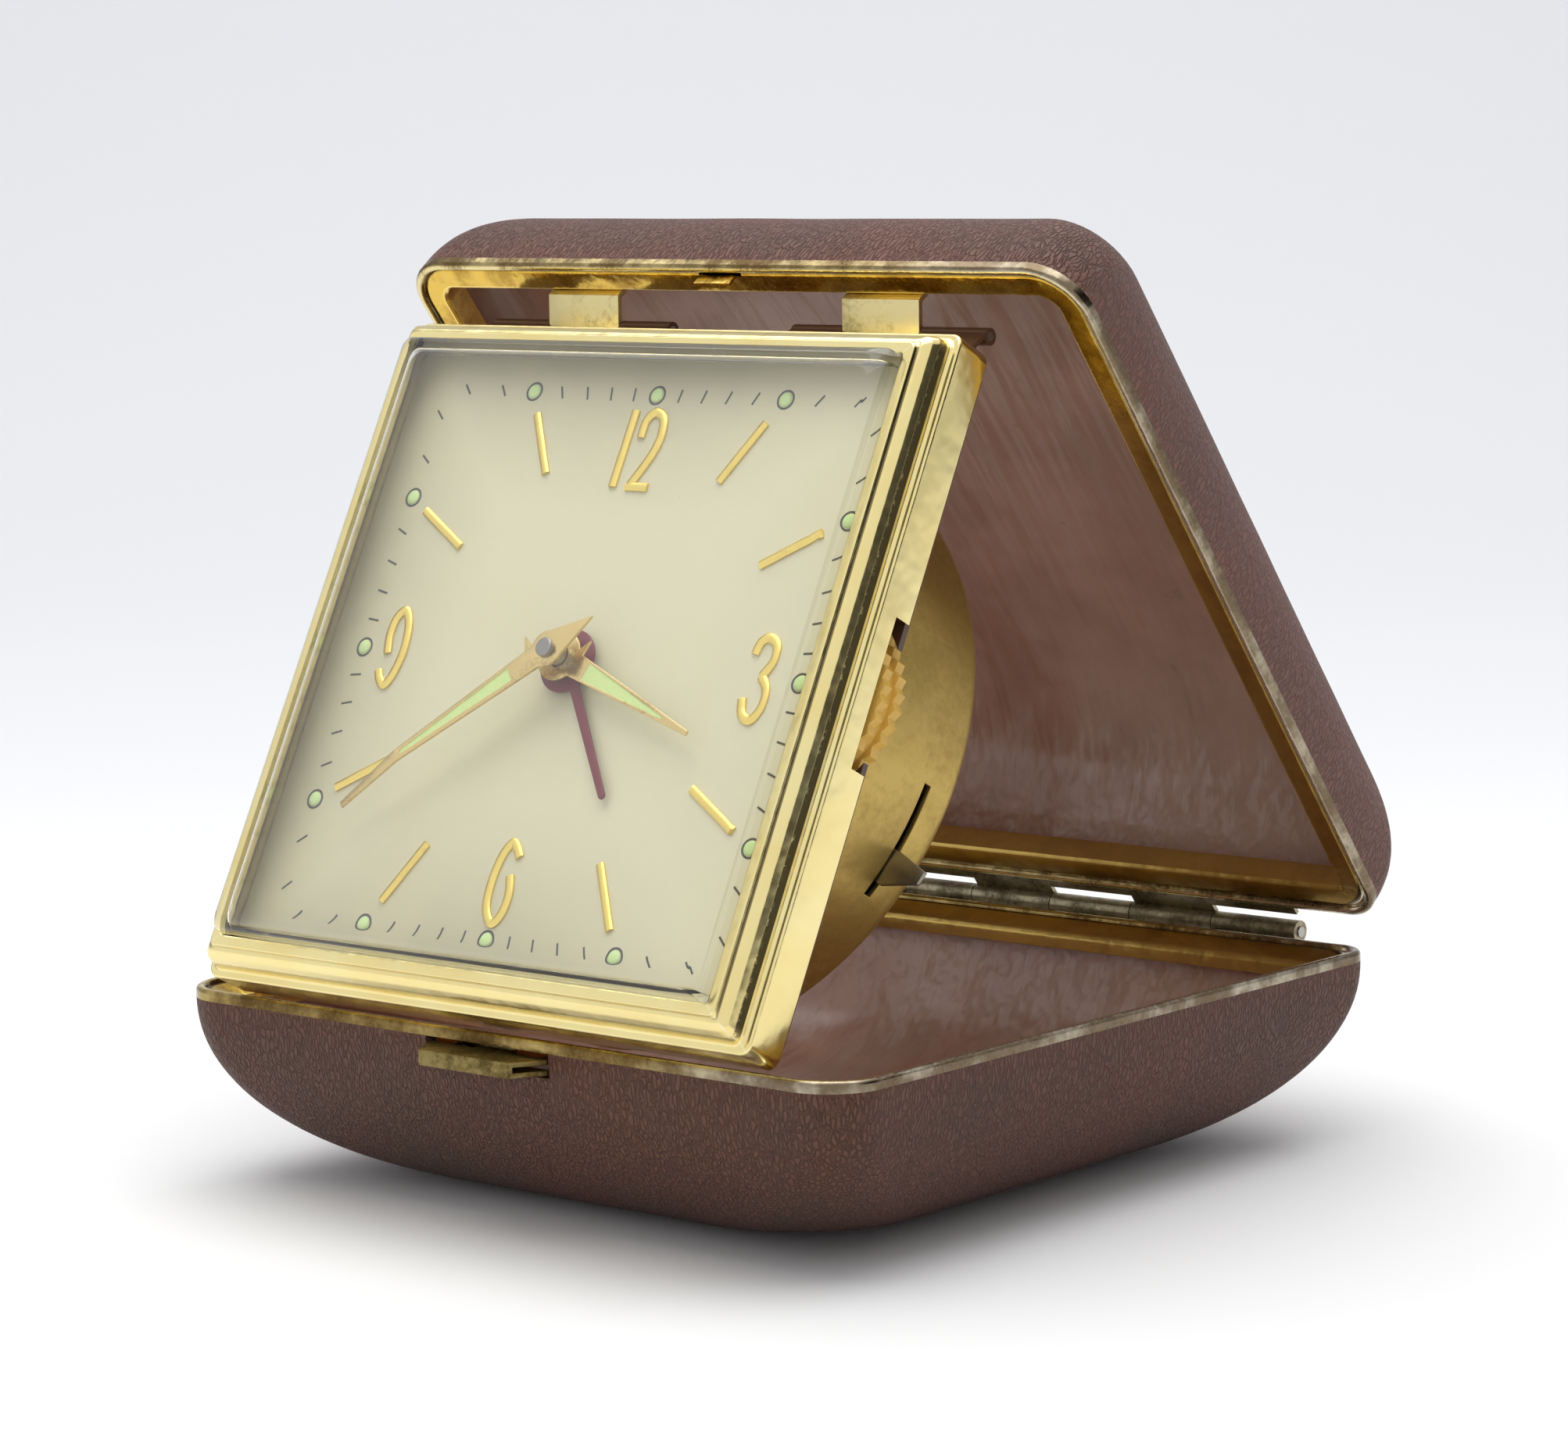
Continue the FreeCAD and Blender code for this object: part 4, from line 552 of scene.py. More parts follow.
def metalFinish(name, grain, changes):
    # brushed metal with tarnished patches and specks
    values = {**metalUsual, **changes}
    made = Finish(name, metallic=1.0)
    here = grain(made)
    patches = made.noise(here, values["patchScale"], 4, 0.6)
    specks = made.noise(here, values["speckScale"], 3, 0.7)
    lines = made.noise(made.stretched(here, values["brush"]), 1.0, 2)
    tarnish = made.ease(patches * 0.65 + specks * 0.35, *values["tarnishRange"]) * values["tarnishShare"]
    tone = made.mix(tarnish, values["colour"], values["tarnish"])
    rough = values["roughness"] + tarnish * 0.25 + lines * values["lineRough"]
    swell = made.relief(made.noise(here, 0.35, 2), values["swell"], 1.0)
    made.set(
        baseColor=tone, roughness=rough,
        normal=made.relief(lines * 0.5 + specks * 0.3, values["relief"], 0.03, swell))
    return made


# Stamped rims with a rolled bead

rimShape = {
    "beadWidth": 0.88, "beadRise": 0.42, "beadSteps": 12, "grooveStep": 0.07, "groove": 0.5,
    "shelfStart": 1.2, "shelfEnd": 3.0, "width": 3.3, "wall": 3.0, "sheet": 0.4, "edgeRadius": 0.1,
    "slotHalf": 2.4, "slotStart": 0.98, "slotDepth": 2.0, "cornerSteps": 12, "sideSteps": 8,
    "base": {"start": 0.5, "end": 1.5, "bend": 1.9, "slotEnd": 2.15},
    "lid": {"start": 0.35, "end": 0.35, "bend": 0.65, "slotEnd": 1.33}}
rimBrass = {
    "base": {"bead": paint(212, 188, 120), "worn": paint(106, 84, 46), "rightGleam": paint(222, 214, 192)},
    "lid": {"bead": paint(226, 208, 150), "worn": paint(130, 108, 70), "rightGleam": paint(226, 216, 190)},
    "shelf": paint(222, 184, 84), "shelfDark": paint(150, 112, 44), "dull": paint(166, 136, 78),
    "edge": paint(244, 216, 130), "dirt": paint(84, 62, 34), "groove": paint(48, 34, 20),
    "shelfFrom": (0.9, 1.06), "rightSide": (14, 30), "rearSide": (-32, -14), "beadMiddle": 0.46,
    "flankReach": (0.12, 0.36), "lip": (2.75, 2.95), "grooveMiddle": 0.98, "grooveReach": 0.16,
    "grooveDepth": (0.15, 0.4), "wearRange": (0.5, 0.62), "roughness": 0.2}


def inwardReach(across, along, half, radius):
    # how far a point lies inside an outline with rounded corners
    fromX = across.size() - (half - radius)
    fromY = along.size() - (half - radius)
    beyond = (fromX.atLeast(0) ** 2 + fromY.atLeast(0) ** 2) ** 0.5
    return radius - beyond - fromX.atLeast(fromY).atMost(0)


def rimFinish(name, grain, half, tones):
    made = Finish(name, metallic=1.0)
    here = grain(made)
    depth = depthIn(made, here, half)
    across = made.part(here, 0)
    along = made.part(here, 1) + (case["hingeY"] if half is lidHalf else 0)
    inward = inwardReach(across, along, case["size"] / 2, case["frontCorner"])
    patches = made.noise(here, 0.22, 4, 0.65)
    grit = made.noise(here, 3.0, 4, 0.75)
    shelf = made.ease(inward, *rimBrass["shelfFrom"])
    # painted reflection: towards the right side the bead is given a paler colour and less wear, where it
    # catches the light
    right = made.ease(across, *rimBrass["rightSide"])
    wear = made.ease(patches * 0.7 + grit * 0.3, *rimBrass["wearRange"]) * (1 - right * 0.6)
    pale = made.mix(right, tones["bead"], tones["rightGleam"])
    pale = made.mix(wear * 0.75, pale, tones["worn"])
    ochre = made.mix(made.ease(patches, 0.42, 0.62) * 0.7, rimBrass["shelf"], rimBrass["shelfDark"])
    # painted shade: the shelf is given a duller, darker colour towards the rear, where it mirrors less light;
    # the rear is rougher too
    behind = made.ease(along, *rimBrass["rearSide"])
    ochre = made.mix(behind * 0.75, ochre, rimBrass["dull"])
    # dirt and painted shade: the bead's flanks are darkened in patches, so that its highlight stays a narrow
    # line
    flanks = made.ease((inward - rimBrass["beadMiddle"]).size(), *rimBrass["flankReach"])
    flanks = flanks * made.ease(patches, 0.3, 0.55, 0.45, 0.85)
    pale = made.mix(flanks, pale, rimBrass["dirt"])
    tone = made.mix(shelf, pale, ochre)
    # painted highlight: a bright band along the shelf's inner edge, weaker at the rear
    innerEdgeGlint = made.ease(inward, *rimBrass["lip"]) * (1 - behind * 0.7)
    tone = made.mix(innerEdgeGlint * 0.8, tone, rimBrass["edge"])
    # painted shade: a dark line down in the groove behind the bead
    line = made.ease((inward - rimBrass["grooveMiddle"]).size(), 0.0, rimBrass["grooveReach"], 1.0, 0.0)
    line = line * made.ease(depth, *rimBrass["grooveDepth"])
    tone = made.mix(line * 0.75, tone, rimBrass["groove"])
    rough = rimBrass["roughness"] + wear * 0.2 * (1 - shelf) + made.ease(grit, 0.5, 0.7) * 0.12
    rough = rough + behind * shelf * 0.12
    swell = made.relief(made.noise(here, 0.5, 2), 0.16, 0.8)
    made.set(baseColor=tone, roughness=rough, normal=made.relief(grit, 0.16, 0.03, swell))
    return made


def rimSection(levels):
    bead = rimShape["beadWidth"]
    rise = rimShape["beadRise"]
    section = [(0.0, case["beadHeight"])]
    for step in range(rimShape["beadSteps"] + 1):
        angle = math.pi * (1 - step / rimShape["beadSteps"])
        section.append((bead / 2 + bead / 2 * math.cos(angle), rise * (1 - math.sin(angle))))
    inner = rimShape["width"] - rimShape["sheet"]
    rest = [
        (bead + rimShape["grooveStep"], rimShape["groove"]), (rimShape["shelfStart"], levels["start"]),
        (rimShape["shelfEnd"], levels["end"]), (rimShape["width"], levels["bend"]),
        (rimShape["width"], rimShape["wall"]), (inner, rimShape["wall"]), (inner, levels["bend"]),
        (rimShape["shelfEnd"] - rimShape["sheet"] / 2, levels["end"] + rimShape["sheet"]),
        (bead + rimShape["grooveStep"], case["beadHeight"])]
    return section + softened(rest, rimShape["edgeRadius"], 3, False)


def rimPiece(name, half, place, body, node, finish):
    levels = rimShape[body]
    section = [(offset, case["mateLevel"] + half["side"] * down) for offset, down in rimSection(levels)]

    def wireAt(offset):
        side = case["size"] / 2 - offset
        front = max(case["frontCorner"] - offset, case["leastCorner"])
        rear = max(case["rearCorner"] - offset, case["leastCorner"])
        return outline(side, side, front, rear, rimShape["cornerSteps"], rimShape["sideSteps"])

    piece = frameRing(name, section, wireAt, place, body, finish, (node,), smooth=50)
    low, high = sorted((case["mateLevel"], case["mateLevel"] + half["side"] * rimShape["slotDepth"]))
    cutAway(
        piece, place, (-rimShape["slotHalf"], rimShape["slotStart"] - case["size"] / 2, low),
        (rimShape["slotHalf"], levels["slotEnd"] - case["size"] / 2, high), smooth=50)


baseRimGilt = rimFinish("baseRimGilt", Finish.place, baseHalf, rimBrass["base"])
lidRimGilt = rimFinish("lidRimGilt", lidGrain, lidHalf, rimBrass["lid"])
rimPiece("baseRimBrass", baseHalf, basePlace, "base", "base_rim", baseRimGilt)
rimPiece("lidRimBrass", lidHalf, lidPlace, "lid", "lid_rim", lidRimGilt)
print("stage: rims")


# Bezel

bezel = {
    "halfWidth": 27.63, "halfHeight": 27.99, "width": 3.07, "depth": 7.0, "corner": 0.4, "growth": 0.2,
    "edgeRadius": 0.12, "cornerSteps": 7, "sideSteps": 6, "notch": ((27.7, -6.1, -8.5), (33, 7.0, -5.1)),
    "gilt": paint(243, 227, 164), "warm": paint(235, 210, 134), "mitre": paint(250, 240, 200),
    "deep": paint(160, 124, 52), "grime": paint(40, 30, 18), "line": paint(54, 36, 18), "roughness": 0.16,
    "mitreReach": (0.02, 0.22), "lipMiddle": 1.08, "lipReach": (0.04, 0.14), "lipDepth": (-0.9, -0.3),
    "bandFrom": (2.16, 2.24), "bandTo": (2.34, 2.4), "bandBottom": (-2.5, -2.4), "bandTop": (-1.7, -1.55),
    "nickRange": (0.7, 0.74)}
bezelSection = [
    (0.0, 0.107), (0.0, 0.01), (0.03, 0.0), (0.29, 0.0), (0.32, 0.012), (0.335, 0.05), (0.391, 0.064),
    (0.456, 0.071), (0.619, 0.136), (0.717, 0.243), (0.739, 0.329), (0.756, 0.4), (0.847, 0.421),
    (0.961, 0.421), (1.0, 0.443), (1.0, 1.0), (0.87, 1.0), (0.87, 0.479), (0.635, 0.45), (0.586, 0.286),
    (0.456, 0.157), (0.293, 0.107)]


def bezelFinish():
    made = Finish("bezelGilt", metallic=1.0)
    here = clockGrain(made)
    across, up, level = (made.part(here, axis) for axis in range(3))
    inward = (across.size() - bezel["halfWidth"]).atLeast(up.size() - bezel["halfHeight"])
    grit = made.noise(here, 2.6, 4, 0.75)
    patches = made.noise(here, 0.12, 3)
    lines = made.noise(made.stretched(here, (0.5, 9.0, 9.0)), 1.0, 3)
    tone = made.mix(made.ease(patches, 0.35, 0.7) * 0.5, bezel["gilt"], bezel["warm"])
    corner = ((across.size() - bezel["halfWidth"]) - (up.size() - bezel["halfHeight"])).size()
    mitre = made.ease(corner, *bezel["mitreReach"], 1.0, 0.0) * made.ease(grit, 0.35, 0.6)
    tone = made.mix(mitre * 0.7, tone, bezel["mitre"])
    sides = made.ease(across.size() - up.size(), -1.0, 1.0, 0.3, 1.0)
    # painted reflection: a dark line beside the lip, on the side rails more than on the top and bottom
    lipReflectionLine = made.ease((inward - bezel["lipMiddle"]).size(), *bezel["lipReach"], 1.0, 0.0)
    lipReflectionLine = lipReflectionLine * made.ease(level, *bezel["lipDepth"]) * sides
    tone = made.mix(lipReflectionLine * 0.85, tone, bezel["line"])
    # painted reflection: the grime colour paints a dark speckled band down the cove, where it mirrors a dark
    # surround, stronger on the side rails; the band is also made rougher
    speckle = made.ease(made.noise(here, 1.6, 5, 0.8), 0.4, 0.6) * 0.16
    coveReflectionBand = made.ease(inward + speckle, *bezel["bandFrom"]) * made.ease(inward, *bezel["bandTo"], 1.0, 0.0)
    coveReflectionBand = coveReflectionBand * made.ease(level, *bezel["bandBottom"])
    coveReflectionBand = coveReflectionBand * made.ease(level, *bezel["bandTop"], 1.0, 0.0) * sides
    tone = made.mix(coveReflectionBand * 0.92, tone, bezel["grime"])
    nick = made.ease(made.noise(here, 1.1, 5, 0.8), *bezel["nickRange"])
    tone = made.mix(nick * 0.6, tone, bezel["deep"])
    rough = bezel["roughness"] + lines * 0.08 + coveReflectionBand * 0.3 + nick * 0.2
    swell = made.relief(made.noise(here, 0.28, 2), 0.1, 1.4)
    made.set(baseColor=tone, roughness=rough, normal=made.relief(lines * 0.5 + grit * 0.3, 0.06, 0.03, swell))
    return made


def bezelWire(offset):
    radius = bezel["corner"] + bezel["growth"] * max(offset, 0)
    return outline(
        bezel["halfWidth"] + offset, bezel["halfHeight"] + offset, radius, radius, bezel["cornerSteps"],
        bezel["sideSteps"])


section = [(bezel["width"] * across, -bezel["depth"] * down) for across, down in bezelSection]
giltBezel = bezelFinish()
bezelPiece = frameRing(
    "bezelFrame", softened(section, bezel["edgeRadius"]), bezelWire, clockPlace, "clock", giltBezel,
    ("bezel",), smooth=60)
cutAway(bezelPiece, clockPlace, *bezel["notch"], smooth=60)
print("stage: bezel")


# Crystal

crystal = {
    "crown": 2.6, "wall": 0.8, "base": -1.2, "flange": 0.65, "flangeThickness": 0.35, "corner": 0.4,
    "cornerGain": 0.6, "cornerGrowth": 0.35, "cornerSteps": 6, "sideSteps": 12, "curveSteps": 7,
    "dish": 0.02, "topRings": 5,
    "footShare": 0.002,
    "profile": [(0.002, 0.115), (0.008, 0.5), (0.026, 0.74), (0.06, 0.86), (0.2, 0.95), (0.8, 1.0)]}


def crystalFinish():
    made = Finish(
        "crystalClear", baseColor=(1, 1, 1), roughness=0.02, transmissionWeight=1.0, ior=1.1, coatWeight=1.0,
        coatRoughness=0.02, coatIor=1.5)
    here = clockGrain(made)
    made.set(normal=made.relief(made.noise(here, 0.1, 2), 0.05, 0.5))
    clear = made.node("ShaderNodeBsdfTransparent", None, {"Color": (0.97, 0.98, 0.96)})
    rays = made.node("ShaderNodeLightPath", result="Is Shadow Ray")
    both = made.node("ShaderNodeMixShader", None, {
        0: rays, 1: Link(made, made.shader.outputs[0]), 2: clear})
    made.tree.links.new(both.socket, made.output.inputs["Surface"])
    return made


def crystalWire(halfX, halfY, radius):
    return outline(halfX, halfY, radius, radius, crystal["cornerSteps"], crystal["sideSteps"])


def crystalRings(inset, drop, foot):
    # rings of the outer or the inner face, from the foot up to the middle of the dome
    half, tall = bezel["halfWidth"], bezel["halfHeight"]
    levels = [(crystal["footShare"] * half + inset, foot)]
    for share, height in smoothLine(crystal["profile"], crystal["curveSteps"]):
        levels.append((share * half + inset, height * crystal["crown"] - drop))
    rings = []
    for away, level in levels:
        beyond = max(away - inset, 0)
        corner = crystal["corner"] + crystal["cornerGain"] * min(beyond / crystal["cornerGain"], 1)
        corner = min(corner + crystal["cornerGrowth"] * beyond, half - away)
        rings.append([(x, y, level) for x, y in crystalWire(half - away, tall - away, corner)])
    last = rings[-1]
    for step in range(1, crystal["topRings"]):
        share = 1 - step / crystal["topRings"]
        rings.append([(x * share, y * share, z + (1 - share) * crystal["dish"]) for x, y, z in last])
    return [[clockPlace(*point) for point in ring] for ring in rings]


flangeTop = crystal["base"] + crystal["flangeThickness"]
outer = crystalRings(0, 0, flangeTop)
inner = crystalRings(crystal["wall"], crystal["wall"], crystal["base"])
wire = crystalWire(
    bezel["halfWidth"] + crystal["flange"], bezel["halfHeight"] + crystal["flange"], crystal["corner"])
flange = [[clockPlace(x, y, level) for x, y in wire] for level in (crystal["base"], flangeTop)]
points, faces = ringStack(inner[::-1] + flange + outer, (True, True))
meshPiece("crystalDome", points, faces, "clock", crystalFinish(), ("crystal",), smooth=60)
print("stage: crystal")


# Dial, its printing and its raised marks

dial = {
    "level": -3.04, "cream": paint(205, 199, 166), "edge": paint(174, 168, 136), "warm": paint(198, 190, 152),
    "speck": paint(96, 92, 66), "shadeReach": (11, 29), "shadeLeft": (0, 26), "speckScale": 0.16,
    "speckSize": 0.028, "roughness": 0.42,
    "tickLength": 1.25, "tickWidth": 0.2, "trackX": 24.62, "trackY": 24.7, "printed": 0.012,
    "ink": paint(62, 64, 58), "dotRadius": 0.66, "dotFoot": 0.02, "dotHeight": 0.2, "dotSteps": 20,
    "dotRows": 5, "ringOuter": 0.92, "ringInner": 0.72, "ringSteps": 28}


def dialFinish():
    made = Finish("dialCream", specularIorLevel=0.5, coatWeight=0.25, coatRoughness=0.3)
    here = clockGrain(made)
    across, up = made.part(here, 0), made.part(here, 1)
    reach = across.size().atLeast(up.size())
    # painted shade: the dial darkens towards its edges, less so on the right
    shade = made.ease(reach, *dial["shadeReach"]) * made.ease(across, *dial["shadeLeft"], 1.0, 0.2)
    tone = made.mix(shade, dial["cream"], dial["edge"])
    cloud = made.noise(here, 0.1, 3)
    tone = made.mix(made.ease(cloud, 0.4, 0.7) * 0.3, tone, dial["warm"])
    fleck = made.ease(made.cells(here, dial["speckScale"]), 0.0, dial["speckSize"], 1.0, 0.0)
    tone = made.mix(fleck * 0.6, tone, dial["speck"])
    fine = made.noise(here, 7.0, 2)
    made.set(baseColor=tone, roughness=dial["roughness"] + fine * 0.08, normal=made.relief(fine, 0.12, 0.02))
    return made


nodes["dial"].data.materials.clear()
nodes["dial"].data.materials.append(dialFinish().material)


def plainFinish(name, colour, roughness, grain=clockGrain, scale=3.0, shift=0.25, relief=0.2, **more):
    # paint or plastic with a little grit and darker spots
    made = Finish(name, **more)
    here = grain(made)
    grit = made.noise(here, scale, 4, 0.65)
    dark = tuple(value * 0.6 for value in colour)
    made.set(
        baseColor=made.mix(made.ease(grit, 0.4, 0.75) * shift, colour, dark),
        roughness=roughness + grit * 0.12, normal=made.relief(grit, relief, 0.04))
    return made


inkFinish = plainFinish("printedInk", dial["ink"], 0.55)
lumeFinish = plainFinish("lumePaint", paint(190, 214, 146), 0.6, scale=5.0, shift=0.3, relief=0.5)


def flatMarks(name, polygons, level, finish):
    points, faces = [], []
    for polygon in polygons:
        start = len(points)
        points += [clockPlace(x, y, level) for x, y in polygon]
        faces.append(tuple(range(start, start + len(polygon))))
    meshPiece(name, points, faces, "clock", finish)


def tickMark(across, up, reach):
    # a printed bar that points at the centre
    half = dial["tickLength"] / 2
    wide = dial["tickWidth"] / 2
    return [
        ((reach + end * half) * across - side * wide * up, (reach + end * half) * up + side * wide * across)
        for end, side in ((-1, -1), (-1, 1), (1, 1), (1, -1))]


def ringMarks(centreX, centreY):
    # a dark ring round a dot, in short pieces
    marks = []
    inner, outer, steps = dial["ringInner"], dial["ringOuter"], dial["ringSteps"]
    for step in range(steps):
        start, end = (math.tau * (step + more) / steps for more in (0, 1))
        marks.append([
            (centreX + radius * math.cos(turn), centreY + radius * math.sin(turn))
            for radius, turn in ((inner, start), (inner, end), (outer, end), (outer, start))])
    return marks


def dotMound(centreX, centreY, points, faces):
    # a low dome of luminous paint
    start = len(points)
    rows, steps = dial["dotRows"], dial["dotSteps"]
    for row in range(rows):
        swell = math.pi / 2 * row / rows
        for step in range(steps):
            turn = math.tau * step / steps
            radius = dial["dotRadius"] * math.cos(swell)
            points.append(clockPlace(
                centreX + radius * math.cos(turn), centreY + radius * math.sin(turn),
                dial["level"] + dial["dotFoot"] + dial["dotHeight"] * math.sin(swell)))
        if row:
            low, high = start + (row - 1) * steps, start + row * steps
            for step in range(steps):
                after = (step + 1) % steps
                faces.append((low + step, low + after, high + after, high + step))
    faces.append(tuple(start + (rows - 1) * steps + step for step in range(steps)))
    faces.append(tuple(start + step for step in reversed(range(steps))))


ticks, rings, dotPoints, dotFaces = [], [], [], []
for minute in range(60):
    angle = math.radians(90 - 6 * minute)
    across, up = math.cos(angle), math.sin(angle)
    reach = min(dial["trackX"] / max(abs(across), 1e-6), dial["trackY"] / max(abs(up), 1e-6))
    if minute % 5:
        ticks.append(tickMark(across, up, reach))
    else:
        rings += ringMarks(reach * across, reach * up)
        dotMound(reach * across, reach * up, dotPoints, dotFaces)
flatMarks("minuteTicks", ticks, dial["level"] + dial["printed"], inkFinish)
flatMarks("dotRings", rings, dial["level"] + dial["printed"], inkFinish)
meshPiece("hourDotsLume", dotPoints, dotFaces, "clock", lumeFinish, ("hour_dots",))

marks = {
    "stroke": 0.84, "footShare": 0.9, "footStart": 0.3, "curveSteps": 6, "height": 0.3,
    "gilt": paint(244, 216, 116), "batonInner": 19.65, "batonOuter": 26.0, "batonWidth": 0.78,
    "profile": [(-1, 0.0), (-1, 0.62), (-0.72, 0.93), (0, 1.0), (0.72, 0.93), (1, 0.62), (1, 0.0)]}
strokes = {
    "one": [(-1.72, 23.2), (-1.78, 16.1)],
    "two": [(-0.3, 20.7), (-0.22, 22.3), (0.65, 23.1), (1.62, 22.5), (1.95, 20.9), (1.6, 19.3), (0.85, 17.7),
            (0.05, 16.2), (2.2, 16.2)],
    "threeTop": [(19.35, 2.1), (19.65, 3.2), (20.45, 3.6), (21.35, 3.0), (21.5, 1.7), (20.75, 0.25)],
    "threeFoot": [(20.75, 0.25), (21.6, -0.9), (21.65, -2.4), (20.85, -3.55), (19.85, -3.1), (19.4, -1.8)],
    "six": [(0.95, -17.3), (0.35, -16.5), (-0.3, -16.1), (-1.0, -17.3), (-1.3, -19.6), (-1.0, -21.9),
            (0.05, -23.2), (0.85, -22.3), (1.0, -20.5), (0.5, -18.95)],
    "nine": [(-21.55, -0.45), (-21.95, 1.3), (-21.75, 2.9), (-20.95, 3.6), (-20.1, 2.3), (-19.75, 0.0),
             (-20.1, -2.2), (-20.75, -3.3), (-21.5, -2.85), (-21.95, -2.05)]}


def raisedStroke(line, width, points, faces):
    # a pressed bar with a rounded top, along a line on the dial
    start = len(points)
    for index, here in enumerate(line):
        before, after = line[max(index - 1, 0)], line[min(index + 1, len(line) - 1)]
        along = (after - before).normalized()
        side = Vector((-along.y, along.x))
        for share, height in marks["profile"]:
            spot = here + side * share * width / 2
            points.append(clockPlace(spot.x, spot.y, dial["level"] + marks["height"] * height))
    size = len(marks["profile"])
    for index in range(len(line) - 1):
        for step in range(size - 1):
            corner = start + index * size + step
            faces.append((corner, corner + 1, corner + size + 1, corner + size))
        corner = start + index * size
        faces.append((corner, corner + size, corner + 2 * size - 1, corner + size - 1))
    faces.append(tuple(start + step for step in range(size)))
    faces.append(tuple(start + (len(line) - 1) * size + step for step in reversed(range(size))))


giltMarks = metalFinish("markGilt", clockGrain, {
    "colour": marks["gilt"], "tarnish": paint(170, 130, 50), "roughness": 0.26, "tarnishShare": 0.4,
    "speckScale": 4.0, "relief": 0.25})
points, faces = [], []
for name, line in strokes.items():
    if name == "one":
        path = [Vector(point) for point in line]
    elif name == "two":
        path = smoothLine(line[:-1], marks["curveSteps"])
        foot = [Vector(line[-2]) - Vector((marks["footStart"], 0)), Vector(line[-1])]
        raisedStroke(foot, marks["stroke"] * marks["footShare"], points, faces)
    else:
        path = smoothLine(line, marks["curveSteps"])
    raisedStroke(path, marks["stroke"], points, faces)
meshPiece("numeralsGilt", points, faces, "clock", giltMarks, ("numerals",), smooth=45)
points, faces = [], []
for hour in range(12):
    if hour % 3:
        angle = math.radians(90 - 30 * hour)
        way = Vector((math.cos(angle), math.sin(angle)))
        path = [way * marks["batonInner"], way * marks["batonOuter"]]
        raisedStroke(path, marks["batonWidth"], points, faces)
meshPiece("batonsGilt", points, faces, "clock", giltMarks, ("hour_batons",), smooth=45)
print("stage: dial")


# Hands

giltHands = metalFinish("handGilt", clockGrain, {
    "colour": paint(222, 196, 132), "tarnish": paint(128, 100, 56), "roughness": 0.24, "tarnishShare": 0.6,
    "tarnishRange": (0.5, 0.66), "speckScale": 3.5, "relief": 0.2})
maroon = plainFinish("alarmMaroon", paint(112, 30, 44), 0.4)
nutGrey = metalFinish("nutGrey", clockGrain, {
    "colour": paint(150, 146, 142), "tarnish": paint(84, 72, 66), "roughness": 0.3, "speckScale": 5.0})
lumeHands = plainFinish("lumeHands", paint(196, 216, 140), 0.55, scale=4.0, shift=0.25, relief=0.4)
bevelled("minuteHandGilt", "minute_hand", "minute_arbor", giltHands, 0.06)
bevelled("hourHandGilt", "hour_hand", "hour_pipe", giltHands, 0.06)
bevelled("alarmHandMaroon", "alarm_hand", "alarm_pipe", maroon, 0.05)
print("stage: hands")


# Drum, thumbwheel, lever, hinges, latch and works

drumBrass = metalFinish("drumBrass", clockGrain, {
    "colour": paint(198, 170, 100), "tarnish": paint(150, 124, 66), "roughness": 0.4, "tarnishShare": 0.5,
    "tarnishRange": (0.4, 0.66), "patchScale": 0.09, "speckScale": 1.3, "brush": (0.4, 0.4, 5.0),
    "lineRough": 0.1, "relief": 0.25, "swell": 0.1})
amber = plainFinish("amberMoulding", paint(222, 178, 84), 0.34, scale=1.2, shift=0.25, relief=0.12,
                    specularIorLevel=0.5)
leverSteel = metalFinish("leverSteel", clockGrain, {
    "colour": paint(150, 144, 132), "tarnish": paint(88, 78, 62), "roughness": 0.34, "tarnishShare": 0.7})
hangerBrass = metalFinish("hangerBrass", lidGrain, {
    "colour": paint(226, 210, 154), "tarnish": paint(124, 104, 58), "roughness": 0.3, "tarnishShare": 0.6,
    "tarnishRange": (0.5, 0.7), "relief": 0.2})
hingeBrass = metalFinish("hingeBrass", Finish.place, {
    "colour": paint(168, 158, 132), "tarnish": paint(96, 84, 58), "roughness": 0.34, "tarnishShare": 0.8,
    "tarnishRange": (0.42, 0.64), "patchScale": 0.3})
latchBrass = metalFinish("latchBrass", Finish.place, {
    "colour": paint(140, 124, 80), "tarnish": paint(80, 68, 38), "roughness": 0.4, "tarnishShare": 0.8,
    "tarnishRange": (0.42, 0.62), "patchScale": 0.4})
enamel = plainFinish("brownEnamel", paint(84, 56, 40), 0.35, scale=1.5, coatWeight=0.3, coatRoughness=0.2)
shellPaint = plainFinish("shellPaint", paint(60, 52, 46), 0.55, grain=Finish.place)
steel = metalFinish("plainSteel", clockGrain, {
    "colour": paint(176, 176, 172), "tarnish": paint(110, 104, 96), "roughness": 0.32, "tarnishShare": 0.4})
springSteel = metalFinish("springSteel", clockGrain, {
    "colour": paint(90, 100, 124), "tarnish": paint(66, 62, 60), "roughness": 0.28, "tarnishShare": 0.4})
wheelBrass = metalFinish("wheelBrass", clockGrain, {
    "colour": paint(216, 178, 100), "tarnish": paint(140, 106, 54), "roughness": 0.28, "tarnishShare": 0.4})
plateBrass = metalFinish("plateBrass", clockGrain, {
    "colour": paint(206, 172, 104), "tarnish": paint(132, 104, 58), "roughness": 0.34, "tarnishShare": 0.5,
    "brush": (0.3, 7.0, 7.0)})

